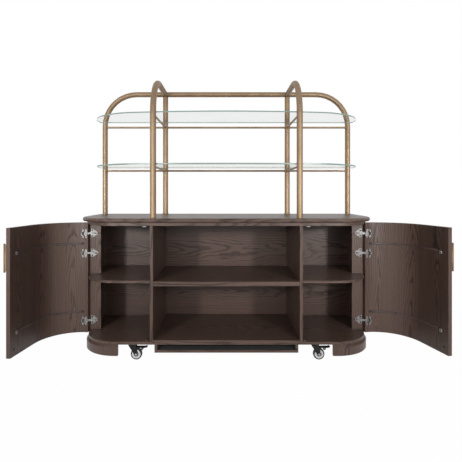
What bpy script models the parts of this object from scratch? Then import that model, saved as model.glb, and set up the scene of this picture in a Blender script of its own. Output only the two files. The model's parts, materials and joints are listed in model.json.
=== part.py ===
"""Bar cabinet on casters with two curved doors and a tube rack with glass shelves on top.

Metres, +Z up, front towards -Y. The cabinet is laid out around the middle of its carcass,
then the whole assembly is moved so that the origin lies under the middle of its bounding box.
"""

import math

import bmesh
import bpy
from mathutils import Matrix, Vector

# Fits
FIT_GAP = 0.0003
DOOR_GAP = 0.003
DOOR_EDGE_GAP = 0.004

# Carcass in plan
CORE_HALF_LENGTH = 0.770
CORE_DEPTH = 0.463
CORNER_RADIUS = 0.194
STILE_SETBACK = 0.1995
STILE_WIDTH = 0.056
STILE_THICKNESS = 0.018
STILE_EDGE_SETBACK = 0.0025
SHELF_NOTCH_GAP = 0.001
BACK_THICKNESS = 0.012
PARTITION_INNER_X = 0.381
PARTITION_THICKNESS = 0.0165
TOP_OVERHANG = 0.008
TOP_BACK_OVERHANG = 0.0065

# Board heights above the floor
BOTTOM_Z = 0.102
BOTTOM_THICKNESS = 0.0155
DECK_THICKNESS = 0.0228
CENTRE_SHELF_Z = 0.405
CENTRE_SHELF_THICKNESS = 0.0242
SIDE_SHELF_Z = 0.421
SIDE_SHELF_THICKNESS = 0.0135
SUB_TOP_Z = 0.718
SUB_TOP_THICKNESS = 0.0182
TOP_THICKNESS = 0.022
TOP_NOSE_STEPS = 6
BOARD_EDGE = 0.001

# Skirts and plinth tray
SKIRT_Z = 0.047
SKIRT_THICKNESS = 0.018
SKIRT_INSET = 0.008
SKIRT_SLOPE_HEIGHT = 0.011
SKIRT_ENDS_X = {"left": 0.562, "right": 0.552}
TRAY_Z = 0.060
TRAY_SIDE_GAP = 0.0075
TRAY_BOTTOM_THICKNESS = 0.013
TRAY_SIDE_THICKNESS = 0.014
TRAY_FRONT_SETBACK = 0.002
TRAY_DEPTH = 0.300

# Doors
DOOR_THICKNESS = 0.020
DOOR_TOP_GAP = 0.013
DOOR_BOTTOM_REVEAL = 0.0045
DOOR_END_LAP = 0.0135
LEFT_OPEN_ANGLE = math.radians(96.5)
RIGHT_OPEN_ANGLE = math.radians(103.5)
AXIS_DEPTH = 0.012
AXIS_INSET = 0.0075
ARC_STEPS = 16

# Door straighteners
STRAIGHTENER_DROP = 0.057
STRAIGHTENER_RISE = 0.0505
STRAIGHTENER_WIDTH = 0.012
STRAIGHTENER_DEPTH = 0.008
STRAIGHTENER_SINK = 0.001
STRAIGHTENER_START = 0.022
STRAIGHTENER_END = 0.053

# Hinges
TOP_HINGE_DROP = 0.0615
HINGE_PAIR_SPACING = 0.111
BOTTOM_HINGE_RISE = 0.065
CUP_RADIUS = 0.0172
CUP_FLOOR = 0.001
CUP_RECESS_RADIUS = 0.0140
CUP_INSET = 0.0195
CUP_FLANGE_HEIGHT = 0.046
CUP_FLANGE_WIDTH = 0.024
CUP_FLANGE_THICKNESS = 0.0015
HINGE_PLATE_WIDTH = 0.037
HINGE_PLATE_HEIGHT = 0.045
HINGE_PLATE_THICKNESS = 0.0022
HINGE_ARM_HEIGHT = 0.011
HINGE_ARM_STEP = 0.006
HINGE_DOOR_CLEARANCE = 0.005
HINGE_NECK_THICKNESS = 0.0036
HINGE_NECK_LENGTH = 0.012
HINGE_EYE_RADIUS = 0.0032
HINGE_PIN_RADIUS = 0.0016
HINGE_PIN_LENGTH = 0.018
HINGE_SLOT_GAP = 0.0006
STILE_HOLE_RADIUS = 0.003
STILE_HOLE_DEPTH = 0.008
STILE_HOLE_OFFSET = 0.0065

# Handles
HANDLE_LENGTH = 0.138
HANDLE_CENTRE_Z = 0.578
HANDLE_INSET = 0.012
HANDLE_WIDTH = 0.010
HANDLE_PROJECTION = 0.0235
HANDLE_BAR_THICKNESS = 0.007
HANDLE_BLOCK_LENGTH = 0.057
HANDLE_WEB_THICKNESS = 0.004
HANDLE_EDGE = 0.0015

# Tube rack
TUBE_RADIUS = 0.016
ROD_RADIUS = 0.006
RACK_BEND_RADIUS = 0.200
RACK_OUTER_X = 0.765
RACK_INNER_X = 0.384
RACK_FRONT_SETBACK = 0.0195
RACK_REAR_SETBACK = 0.011
RACK_RAIL_Z = 1.511
ROD_BEND_DROP = 0.008
ROD_SPACING = 0.273
TUBE_SIDES = 20
ROD_SIDES = 12
BEND_STEPS = 9

# Glass shelves
GLASS_THICKNESS = 0.008
GLASS_PAD_HEIGHT = 0.003
GLASS_PAD_RADIUS = 0.005
GLASS_PAD_INSET = 0.040
GLASS_HALF_LENGTH = 0.760
GLASS_DEPTH = 0.307
GLASS_POST_GAP = 0.001
GLASS_CORNER_RADIUS = 0.280

# Casters
WHEEL_RADIUS = 0.030
WHEEL_WIDTH = 0.020
TYRE_THICKNESS = 0.0055
HUB_SINK = 0.002
AXLE_RADIUS = 0.004
AXLE_CLEARANCE = 0.0004
CASTER_PARTITION_GAPS = {"left": 0.1045, "right": 0.0755}
CASTER_FRONT_SETBACK = 0.0685
CASTER_REAR_SETBACK = 0.0715
CASTER_TRAIL = 0.021
CASTER_PLATE_SIZE = 0.060
CASTER_PLATE_THICKNESS = 0.003
FORK_SIDE_GAP = 0.002
FORK_THICKNESS = 0.0025
FORK_CROWN_Z = 0.078
FORK_CROWN_THICKNESS = 0.004
FORK_CROWN_HALF_LENGTH = 0.020
FORK_FOOT_RADIUS = 0.0085
FORK_FOOT_START = math.radians(-144)
FORK_FOOT_STEPS = 8
FORK_HEAD_RADIUS = 0.017
PEDAL_PIVOT_X = 0.0135
PEDAL_Z = 0.0635
PEDAL_REACH = 0.0795
PEDAL_THICKNESS = 0.0045
PEDAL_TIP_RISE = 0.003
PEDAL_TIP_LENGTH = 0.013
PEDAL_SIDE_GAP = 0.0004
ROUND_SIDES = 24

# Places that follow from the sizes above
CORE_FRONT_Y = -CORE_DEPTH / 2
CORE_BACK_Y = CORE_DEPTH / 2
STILE_FACE_Y = CORE_FRONT_Y + STILE_SETBACK
DOOR_OUTER_X = CORE_HALF_LENGTH + DOOR_GAP + DOOR_THICKNESS
DOOR_EDGE_Y = STILE_FACE_Y - DOOR_EDGE_GAP
PARTITION_OUTER_X = PARTITION_INNER_X + PARTITION_THICKNESS
DOOR_END_X = PARTITION_OUTER_X - DOOR_END_LAP
BOTTOM_TOP_Z = BOTTOM_Z + BOTTOM_THICKNESS
TOP_Z = SUB_TOP_Z + SUB_TOP_THICKNESS + FIT_GAP
TOP_SURFACE_Z = TOP_Z + TOP_THICKNESS
DOOR_BOTTOM_Z = BOTTOM_Z + DOOR_BOTTOM_REVEAL
DOOR_TOP_Z = TOP_Z - DOOR_TOP_GAP
# The hinges are set out from the door's top and bottom edges, and each straightener from the hinge near it.
TOP_HINGE_Z = DOOR_TOP_Z - TOP_HINGE_DROP
MIDDLE_HINGE_Z = TOP_HINGE_Z - HINGE_PAIR_SPACING
BOTTOM_HINGE_Z = DOOR_BOTTOM_Z + BOTTOM_HINGE_RISE
HINGE_HEIGHTS = {"top": TOP_HINGE_Z, "middle": MIDDLE_HINGE_Z, "bottom": BOTTOM_HINGE_Z}
UPPER_STRAIGHTENER_Z = TOP_HINGE_Z - STRAIGHTENER_DROP
LOWER_STRAIGHTENER_Z = BOTTOM_HINGE_Z + STRAIGHTENER_RISE
STRAIGHTENER_HEIGHTS = {"upper": UPPER_STRAIGHTENER_Z, "lower": LOWER_STRAIGHTENER_Z}
ARC_CENTRE = Vector((CORE_HALF_LENGTH - CORNER_RADIUS, CORE_FRONT_Y + CORNER_RADIUS))
# The door axis runs through the hinge cups, inside the thickness of the closed door.
AXIS_X = CORE_HALF_LENGTH + DOOR_GAP + AXIS_DEPTH
AXIS_Y = DOOR_EDGE_Y - AXIS_INSET
CUP_RECESS_DEPTH = AXIS_DEPTH + HINGE_EYE_RADIUS + HINGE_SLOT_GAP
CUP_DEPTH = CUP_RECESS_DEPTH + CUP_FLOOR
CUP_FLANGE_RISE = CUP_FLANGE_WIDTH ** 2 / (8 * (CORNER_RADIUS + DOOR_GAP)) + FIT_GAP
CUP_TOP = CUP_FLANGE_RISE + CUP_FLANGE_THICKNESS
TRAY_HALF_LENGTH = PARTITION_INNER_X - TRAY_SIDE_GAP
# The casters stand outside the partitions, set in from the carcass's front and back.
CASTER_FRONT_Y = CORE_FRONT_Y + CASTER_FRONT_SETBACK
CASTER_REAR_Y = CORE_BACK_Y - CASTER_REAR_SETBACK
# The rack stands in from the carcass's front and back. Its upper rods meet the posts just below the
# bends, and the lower ones a shelf's space further down.
RACK_FRONT_Y = CORE_FRONT_Y + RACK_FRONT_SETBACK
RACK_REAR_Y = CORE_BACK_Y - RACK_REAR_SETBACK
UPPER_ROD_Z = RACK_RAIL_Z - RACK_BEND_RADIUS - ROD_BEND_DROP
ROD_HEIGHTS = {"upper": UPPER_ROD_Z, "lower": UPPER_ROD_Z - ROD_SPACING}
GLASS_FRONT_Y = RACK_FRONT_Y + TUBE_RADIUS + GLASS_POST_GAP
SIDES = {"left": -1, "right": 1}
CASTER_PLACES_X = {
    side: sign * (PARTITION_OUTER_X + CASTER_PARTITION_GAPS[side]) for side, sign in SIDES.items()}


def clear_scene():
    for item in list(bpy.data.objects):
        bpy.data.objects.remove(item, do_unlink=True)


def make_material(name, colour, roughness, metallic=0.0, transmission=0.0):
    material = bpy.data.materials.new(name)
    material.use_nodes = True
    shader = material.node_tree.nodes["Principled BSDF"]
    shader.inputs["Base Color"].default_value = (*colour, 1.0)
    shader.inputs["Roughness"].default_value = roughness
    shader.inputs["Metallic"].default_value = metallic
    shader.inputs["Transmission Weight"].default_value = transmission
    return material


def make_empty(name, location=(0.0, 0.0, 0.0), turn=0.0, parent=None):
    empty = bpy.data.objects.new(name, None)
    empty.location = location
    empty.rotation_euler = (0.0, 0.0, turn)
    empty.parent = parent
    bpy.context.collection.objects.link(empty)
    return empty


def make_object(name, shape, material, parent, origin=(0.0, 0.0, 0.0), smooth=False):
    """Turn a bmesh drawn in the parent's space into an object whose origin is given."""
    bmesh.ops.translate(shape, verts=shape.verts, vec=-Vector(origin))
    bmesh.ops.recalc_face_normals(shape, faces=shape.faces)
    mesh = bpy.data.meshes.new(name)
    shape.to_mesh(mesh)
    shape.free()
    if material is not None:
        mesh.materials.append(material)
    if smooth:
        mesh.shade_smooth()
        mesh.set_sharp_from_angle(angle=math.radians(35))
    item = bpy.data.objects.new(name, mesh)
    item.location = origin
    item.parent = parent
    bpy.context.collection.objects.link(item)
    return item


def combine(item, shape, operation):
    """Cut a shape out of an object, or weld it on, with a hidden tool object."""
    tool = make_object(item.name + "_tool", shape, None, item.parent)
    tool.hide_render = True
    tool.display_type = "WIRE"
    modifier = item.modifiers.new(operation.lower(), "BOOLEAN")
    modifier.operation = operation
    modifier.solver = "EXACT"
    modifier.object = tool


def ease_edges(item, width=BOARD_EDGE):
    bevel = item.modifiers.new("eased_edges", "BEVEL")
    bevel.width = width
    bevel.segments = 1
    bevel.limit_method = "ANGLE"
    bevel.angle_limit = math.radians(50)


def prism(outline, low, high):
    """A closed outline in plan, raised from low to high."""
    shape = bmesh.new()
    face = shape.faces.new([shape.verts.new((x, y, low)) for x, y in outline])
    raised = bmesh.ops.extrude_face_region(shape, geom=[face])
    top = [item for item in raised["geom"] if isinstance(item, bmesh.types.BMVert)]
    bmesh.ops.translate(shape, verts=top, vec=(0.0, 0.0, high - low))
    return shape


def box(low, high):
    outline = [(low[0], low[1]), (high[0], low[1]), (high[0], high[1]), (low[0], high[1])]
    return prism(outline, low[2], high[2])


def upright_prism(outline, low_y, high_y):
    """A closed outline in the XZ plane, run along Y."""
    shape = prism(outline, low_y, high_y)
    swap = Matrix(((1, 0, 0, 0), (0, 0, 1, 0), (0, 1, 0, 0), (0, 0, 0, 1)))
    bmesh.ops.transform(shape, matrix=swap, verts=shape.verts)
    return shape


def railed(rails):
    """A solid whose long edges are matching lines in plan, each at its own height."""
    shape = bmesh.new()
    rings = []
    for corners in zip(*(line for line, height in rails)):
        places = [(x, y, height) for (x, y), (line, height) in zip(corners, rails)]
        rings.append([shape.verts.new(place) for place in places])
    for ring, following in zip(rings, rings[1:]):
        for k in range(len(ring)):
            j = (k + 1) % len(ring)
            shape.faces.new((ring[k], ring[j], following[j], following[k]))
    shape.faces.new(rings[0])
    shape.faces.new(rings[-1])
    return shape


def band(first, second, low, high):
    """A wall of even height between two matching lines in plan."""
    return railed([(first, low), (second, low), (second, high), (first, high)])


def sweep(path, radius, sides):
    """A round bar along a path of points."""
    points = [Vector(point) for point in path]
    shape = bmesh.new()
    rings = []
    side = None
    for k, point in enumerate(points):
        before = points[max(k - 1, 0)]
        after = points[min(k + 1, len(points) - 1)]
        along = (after - before).normalized()
        if side is None:
            side = along.orthogonal().normalized()
        side = (side - along * side.dot(along)).normalized()
        across = along.cross(side)
        ring = []
        for j in range(sides):
            turn = 2 * math.pi * j / sides
            spoke = side * math.cos(turn) + across * math.sin(turn)
            ring.append(shape.verts.new(point + spoke * radius))
        rings.append(ring)
    for ring, following in zip(rings, rings[1:]):
        for j in range(sides):
            i = (j + 1) % sides
            shape.faces.new((ring[j], ring[i], following[i], following[j]))
    shape.faces.new(rings[0])
    shape.faces.new(rings[-1])
    return shape


def turned(profile, sides, frame):
    """A closed profile of (radius, height) points spun about the frame's Z axis."""
    shape = bmesh.new()
    rings = []
    for j in range(sides):
        turn = 2 * math.pi * j / sides
        rings.append([shape.verts.new((r * math.cos(turn), r * math.sin(turn), h)) for r, h in profile])
    count = len(profile)
    for j in range(sides):
        ring = rings[j]
        following = rings[(j + 1) % sides]
        for k in range(count):
            i = (k + 1) % count
            shape.faces.new((ring[k], ring[i], following[i], following[k]))
    bmesh.ops.transform(shape, matrix=frame, verts=shape.verts)
    return shape


def arc(centre, radius, start, end, steps):
    """Points on a circle in plan, angles in radians."""
    points = []
    for k in range(steps + 1):
        turn = start + (end - start) * k / steps
        points.append((centre[0] + radius * math.cos(turn), centre[1] + radius * math.sin(turn)))
    return points


def mirrored(points, sign):
    return [(sign * x, y) for x, y in points]


def right_front_corner(half_length, front_y, radius):
    """The round front corner at the right end, from the front round to the end."""
    centre = (half_length - radius, front_y + radius)
    return arc(centre, radius, -math.pi / 2, 0.0, ARC_STEPS)


def board_outline(half_length, front_y, back_y, radius):
    """Round front corners and square back corners."""
    right = right_front_corner(half_length, front_y, radius)
    left = [(-x, y) for x, y in reversed(right)]
    return left + right + [(half_length, back_y), (-half_length, back_y)]


def make_top_board(material, parent):
    """A half-round edge along the front and ends, flat at the back."""
    half_length = DOOR_OUTER_X + TOP_OVERHANG
    front_y = CORE_FRONT_Y - DOOR_GAP - DOOR_THICKNESS - TOP_OVERHANG
    back_y = CORE_BACK_Y + BACK_THICKNESS + TOP_BACK_OVERHANG
    radius = CORNER_RADIUS + DOOR_GAP + DOOR_THICKNESS + TOP_OVERHANG
    nose = TOP_THICKNESS / 2
    shape = bmesh.new()
    rings = []
    for k in range(TOP_NOSE_STEPS + 1):
        turn = -math.pi / 2 + math.pi * k / TOP_NOSE_STEPS
        inset = nose * (1 - math.cos(turn))
        height = TOP_Z + nose + nose * math.sin(turn)
        outline = board_outline(half_length - inset, front_y + inset, back_y, radius - inset)
        rings.append([shape.verts.new((x, y, height)) for x, y in outline])
    for ring, following in zip(rings, rings[1:]):
        count = len(ring)
        for j in range(count):
            i = (j + 1) % count
            shape.faces.new((ring[j], ring[i], following[i], following[j]))
    shape.faces.new(rings[0])
    shape.faces.new(rings[-1])
    return make_object("top_board", shape, material, parent, smooth=True)


def make_carcass(wood, parent):
    make_top_board(wood, parent)
    rear_y = CORE_BACK_Y - FIT_GAP
    outline = board_outline(CORE_HALF_LENGTH, CORE_FRONT_Y, rear_y, CORNER_RADIUS)
    sub_top = make_object(
        "sub_top", prism(outline, SUB_TOP_Z, SUB_TOP_Z + SUB_TOP_THICKNESS), wood, parent, smooth=True)
    ease_edges(sub_top)

    inner_x = PARTITION_INNER_X - FIT_GAP
    deck = box((-inner_x, CORE_FRONT_Y, BOTTOM_Z), (inner_x, rear_y, BOTTOM_Z + DECK_THICKNESS))
    ease_edges(make_object("centre_deck", deck, wood, parent))
    shelf_top = CENTRE_SHELF_Z + CENTRE_SHELF_THICKNESS
    shelf = box((-inner_x, CORE_FRONT_Y, CENTRE_SHELF_Z), (inner_x, rear_y, shelf_top))
    ease_edges(make_object("centre_shelf", shelf, wood, parent))

    back_x = CORE_HALF_LENGTH - FIT_GAP
    back_y = CORE_BACK_Y + BACK_THICKNESS
    back = box((-back_x, CORE_BACK_Y, BOTTOM_Z), (back_x, back_y, TOP_Z - FIT_GAP))
    make_object("back_panel", back, wood, parent)

    for name, sign in SIDES.items():
        make_side(name, sign, wood, parent)
    make_tray(wood, parent)


def make_side(name, sign, wood, parent):
    """Bottom panel, wall, stile, partition, side shelf and skirt of one side."""
    rear_y = CORE_BACK_Y - FIT_GAP
    corner = right_front_corner(CORE_HALF_LENGTH, CORE_FRONT_Y, CORNER_RADIUS)
    outline = [(PARTITION_INNER_X, rear_y), (PARTITION_INNER_X, CORE_FRONT_Y)]
    outline += corner + [(CORE_HALF_LENGTH, rear_y)]
    bottom = prism(mirrored(outline, sign), BOTTOM_Z, BOTTOM_TOP_Z)
    ease_edges(make_object(name + "_bottom", bottom, wood, parent, smooth=True))

    stile_back_y = STILE_FACE_Y + STILE_THICKNESS
    wall_low = (CORE_HALF_LENGTH + FIT_GAP, stile_back_y + FIT_GAP)
    wall_high = (DOOR_OUTER_X, CORE_BACK_Y + BACK_THICKNESS)
    wall_outline = [wall_low, (wall_high[0], wall_low[1]), wall_high, (wall_low[0], wall_high[1])]
    wall = prism(mirrored(wall_outline, sign), BOTTOM_Z, TOP_Z - FIT_GAP)
    ease_edges(make_object(name + "_side_wall", wall, wood, parent))

    make_stile(name, sign, wood, parent)

    partition_outline = [
        (PARTITION_INNER_X, CORE_FRONT_Y), (PARTITION_OUTER_X, CORE_FRONT_Y),
        (PARTITION_OUTER_X, rear_y), (PARTITION_INNER_X, rear_y)]
    partition = prism(mirrored(partition_outline, sign), BOTTOM_TOP_Z + FIT_GAP, SUB_TOP_Z - FIT_GAP)
    ease_edges(make_object(name + "_partition", partition, wood, parent))

    # The shelf runs in front of the stile and behind it, with a notch around it.
    shelf_inner_x = PARTITION_OUTER_X + FIT_GAP
    shelf_outer_x = CORE_HALF_LENGTH - FIT_GAP
    notch_x = CORE_HALF_LENGTH - STILE_WIDTH - SHELF_NOTCH_GAP
    notch_front_y = STILE_FACE_Y - SHELF_NOTCH_GAP
    notch_back_y = stile_back_y + SHELF_NOTCH_GAP
    shelf_corner = right_front_corner(shelf_outer_x, CORE_FRONT_Y, CORNER_RADIUS)
    shelf_outline = [(shelf_inner_x, rear_y), (shelf_inner_x, CORE_FRONT_Y)] + shelf_corner
    shelf_outline += [
        (shelf_outer_x, notch_front_y), (notch_x, notch_front_y),
        (notch_x, notch_back_y), (shelf_outer_x, notch_back_y), (shelf_outer_x, rear_y)]
    shelf = prism(mirrored(shelf_outline, sign), SIDE_SHELF_Z, SIDE_SHELF_Z + SIDE_SHELF_THICKNESS)
    ease_edges(make_object(name + "_shelf", shelf, wood, parent, smooth=True))

    # The skirt's inner face lies under the bottom panel, and its outer face stands out past the edge.
    # Its top slopes up from the outer face to the panel's edge.
    high = BOTTOM_Z - FIT_GAP
    profile = (
        (SKIRT_THICKNESS - SKIRT_INSET, SKIRT_Z), (-SKIRT_INSET, SKIRT_Z), (-SKIRT_INSET, high),
        (0.0, high), (SKIRT_THICKNESS - SKIRT_INSET, high - SKIRT_SLOPE_HEIGHT))
    rails = [(mirrored(skirt_line(name, offset, rear_y), sign), height) for offset, height in profile]
    skirt = railed(rails)
    ease_edges(make_object(name + "_skirt", skirt, wood, parent, smooth=True))


def skirt_line(name, offset, rear_y):
    """A line along a side's skirt, drawn on the right, at an offset outside the carcass edge."""
    outer_x = CORE_HALF_LENGTH + offset
    front_y = CORE_FRONT_Y - offset
    corner = right_front_corner(outer_x, front_y, CORNER_RADIUS + offset)
    return [(SKIRT_ENDS_X[name], front_y)] + corner + [(outer_x, rear_y)]


def make_stile(name, sign, wood, parent):
    """The upright that carries the hinges laps the edges of the bottom panel and the sub-top."""
    inner_x = CORE_HALF_LENGTH - STILE_WIDTH
    lap_x = CORE_HALF_LENGTH + FIT_GAP
    outer_x = DOOR_OUTER_X - STILE_EDGE_SETBACK
    low = BOTTOM_TOP_Z + FIT_GAP
    high = SUB_TOP_Z - FIT_GAP
    outline = [
        (inner_x, low), (lap_x, low), (lap_x, BOTTOM_Z), (outer_x, BOTTOM_Z),
        (outer_x, TOP_Z - FIT_GAP), (lap_x, TOP_Z - FIT_GAP), (lap_x, high), (inner_x, high)]
    shape = upright_prism(mirrored(outline, sign), STILE_FACE_Y, STILE_FACE_Y + STILE_THICKNESS)
    stile = make_object(name + "_stile", shape, wood, parent)
    plate_edge_x = CORE_HALF_LENGTH + DOOR_GAP - HINGE_DOOR_CLEARANCE - HINGE_PLATE_WIDTH
    hole_x = sign * (plate_edge_x - STILE_HOLE_OFFSET)
    for height in HINGE_HEIGHTS.values():
        path = [
            (hole_x, STILE_FACE_Y - STILE_HOLE_DEPTH, height),
            (hole_x, STILE_FACE_Y + STILE_HOLE_DEPTH, height)]
        combine(stile, sweep(path, STILE_HOLE_RADIUS, ROD_SIDES), "DIFFERENCE")


def make_tray(wood, parent):
    """A shallow tray hung below the centre deck, open at the front."""
    front_y = CORE_FRONT_Y + TRAY_FRONT_SETBACK
    back_y = front_y + TRAY_DEPTH
    high = BOTTOM_Z - FIT_GAP
    block = box((-TRAY_HALF_LENGTH, front_y, TRAY_Z), (TRAY_HALF_LENGTH, back_y, high))
    tray = make_object("plinth_tray", block, wood, parent)
    inner_x = TRAY_HALF_LENGTH - TRAY_SIDE_THICKNESS
    low = TRAY_Z + TRAY_BOTTOM_THICKNESS
    hollow_low = (-inner_x, front_y - TRAY_SIDE_THICKNESS, low)
    hollow_high = (inner_x, back_y - TRAY_SIDE_THICKNESS, high + TRAY_SIDE_THICKNESS)
    combine(tray, box(hollow_low, hollow_high), "DIFFERENCE")


def door_line(offset, start, end):
    """A line that follows the closed right door, at an offset outside the carcass edge.

    The line starts at a distance from the hinge edge and stops at a distance from the free end.
    """
    radius = CORNER_RADIUS + offset
    straight = DOOR_EDGE_Y - ARC_CENTRE.y
    points = []
    first_turn = 0.0
    if start < straight:
        points.append((CORE_HALF_LENGTH + offset, DOOR_EDGE_Y - start))
    else:
        first_turn = -(start - straight) / radius
    points += arc(ARC_CENTRE, radius, first_turn, -math.pi / 2, ARC_STEPS)
    points.append((DOOR_END_X + end, CORE_FRONT_Y - offset))
    return points


def cup_place(sign):
    """Where a hinge cup sits on the closed door in plan, and the way its mouth faces."""
    radius = CORNER_RADIUS + DOOR_GAP
    turn = -(CUP_INSET - (DOOR_EDGE_Y - ARC_CENTRE.y)) / radius
    outward = Vector((sign * math.cos(turn), math.sin(turn), 0.0))
    place = Vector((sign * ARC_CENTRE.x, ARC_CENTRE.y, 0.0)) + outward * radius
    return place, math.atan2(-outward.y, -outward.x)


def make_door(name, sign, open_angle, materials, parent):
    """The door and what is fixed to it, drawn closed and swung open about the hinge axis."""
    pivot = Vector((sign * AXIS_X, AXIS_Y, 0.0))
    axis = make_empty(name + "_door_axis", pivot, sign * open_angle, parent)
    back_to_axis = Matrix.Translation(-pivot)

    def place(part_name, shape, material, smooth=True):
        bmesh.ops.transform(shape, matrix=back_to_axis, verts=shape.verts)
        return make_object(part_name, shape, material, axis, smooth=smooth)

    def cut(item, shape):
        bmesh.ops.transform(shape, matrix=back_to_axis, verts=shape.verts)
        combine(item, shape, "DIFFERENCE")

    inner = mirrored(door_line(DOOR_GAP, 0.0, 0.0), sign)
    outer = mirrored(door_line(DOOR_GAP + DOOR_THICKNESS, 0.0, 0.0), sign)
    door = place(name + "_door", band(inner, outer, DOOR_BOTTOM_Z, DOOR_TOP_Z), materials["wood"])

    for level, height in STRAIGHTENER_HEIGHTS.items():
        low = height - STRAIGHTENER_WIDTH / 2
        high = height + STRAIGHTENER_WIDTH / 2
        ends = (STRAIGHTENER_START, STRAIGHTENER_END)
        groove_open = mirrored(door_line(0.0, *ends), sign)
        groove_floor = mirrored(door_line(DOOR_GAP + STRAIGHTENER_DEPTH, *ends), sign)
        cut(door, band(groove_open, groove_floor, low, high))
        ends = (STRAIGHTENER_START + FIT_GAP, STRAIGHTENER_END + FIT_GAP)
        bar_face = mirrored(door_line(DOOR_GAP + STRAIGHTENER_SINK, *ends), sign)
        bar_floor = mirrored(door_line(DOOR_GAP + STRAIGHTENER_DEPTH - FIT_GAP, *ends), sign)
        bar = band(bar_face, bar_floor, low + FIT_GAP, high - FIT_GAP)
        place(name + "_" + level + "_straightener", bar, materials["steel"])

    cup_middle, facing = cup_place(sign)
    for level, height in HINGE_HEIGHTS.items():
        middle = cup_middle + Vector((0.0, 0.0, height))
        frame = Matrix.Translation(middle) @ Matrix.Rotation(facing, 4, "Z")
        hole = cup_bar(CUP_RADIUS + FIT_GAP, -CUP_DEPTH - FIT_GAP, CUP_DEPTH)
        for shape in (hole, hinge_slot(sign)):
            bmesh.ops.transform(shape, matrix=frame, verts=shape.verts)
            cut(door, shape)
        cup_name = name + "_" + level + "_hinge_cup"
        cup_parent = make_empty(cup_name + "_place", middle - pivot, facing, axis)
        pin_place = Matrix.Rotation(-facing, 3, "Z") @ (pivot - cup_middle)
        make_cup(cup_name, sign, pin_place, materials["nickel"], cup_parent)

    make_handle(name, sign, place, materials["bronze"], back_to_axis)


def cup_bar(radius, low, high):
    """A round bar square to the door: X runs out of the mouth of the cup."""
    return sweep([(low, 0.0, 0.0), (high, 0.0, 0.0)], radius, ROUND_SIDES)


def hinge_slot(sign):
    """The way from the cup out through the door's hinge edge that clears the hinge neck."""
    half = HINGE_ARM_HEIGHT / 2 + HINGE_SLOT_GAP
    start = -sign * HINGE_EYE_RADIUS
    reach = -sign * (CUP_INSET + CUP_RADIUS)
    floor = FIT_GAP - CUP_RECESS_DEPTH
    return box((floor, min(start, reach), -half), (CUP_DEPTH, max(start, reach), half))


def make_cup(name, sign, pin_place, material, parent):
    """A hinge cup: a flange on the door, a slotted cup sunk into it and the pin across the slot."""
    half_width = CUP_FLANGE_WIDTH / 2
    half_height = CUP_FLANGE_HEIGHT / 2
    flange = box((CUP_FLANGE_RISE, -half_width, -half_height), (CUP_TOP, half_width, half_height))
    cup = make_object(name, flange, material, parent, smooth=True)
    combine(cup, cup_bar(CUP_RADIUS, -CUP_DEPTH, CUP_TOP - FIT_GAP), "UNION")
    combine(cup, hinge_slot(sign), "DIFFERENCE")
    combine(cup, cup_bar(CUP_RECESS_RADIUS, -CUP_RECESS_DEPTH, CUP_DEPTH), "DIFFERENCE")
    combine(cup, hinge_pin(pin_place, HINGE_PIN_RADIUS, HINGE_PIN_LENGTH), "UNION")


def hinge_pin(middle, radius, length):
    """A short upright round bar."""
    ends = [(middle[0], middle[1], middle[2] + step * length) for step in (-0.5, 0.5)]
    return sweep(ends, radius, ROD_SIDES)


def make_handle(name, sign, place, material, back_to_axis):
    """A flat bar on a thin web, with a full block in the middle, near the door's free end."""
    near_x = DOOR_END_X + HANDLE_INSET
    far_x = near_x + HANDLE_WIDTH
    face_y = CORE_FRONT_Y - DOOR_GAP - DOOR_THICKNESS - FIT_GAP
    front_y = face_y - HANDLE_PROJECTION
    bar_y = front_y + HANDLE_BAR_THICKNESS
    weld_y = front_y + HANDLE_BAR_THICKNESS / 2

    def piece(low_x, high_x, low_y, high_y, length):
        outline = [(low_x, low_y), (high_x, low_y), (high_x, high_y), (low_x, high_y)]
        half = length / 2
        return prism(mirrored(outline, sign), HANDLE_CENTRE_Z - half, HANDLE_CENTRE_Z + half)

    bar = piece(near_x, far_x, front_y, bar_y, HANDLE_LENGTH)
    handle = place(name + "_handle", bar, material, smooth=False)
    ease_edges(handle, HANDLE_EDGE)
    side = (HANDLE_WIDTH - HANDLE_WEB_THICKNESS) / 2
    web = piece(near_x + side, far_x - side, weld_y, face_y, HANDLE_LENGTH - 2 * HANDLE_BAR_THICKNESS)
    block = piece(near_x + HANDLE_EDGE, far_x - HANDLE_EDGE, weld_y, face_y, HANDLE_BLOCK_LENGTH)
    for shape in (web, block):
        bmesh.ops.transform(shape, matrix=back_to_axis, verts=shape.verts)
        combine(handle, shape, "UNION")


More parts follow.
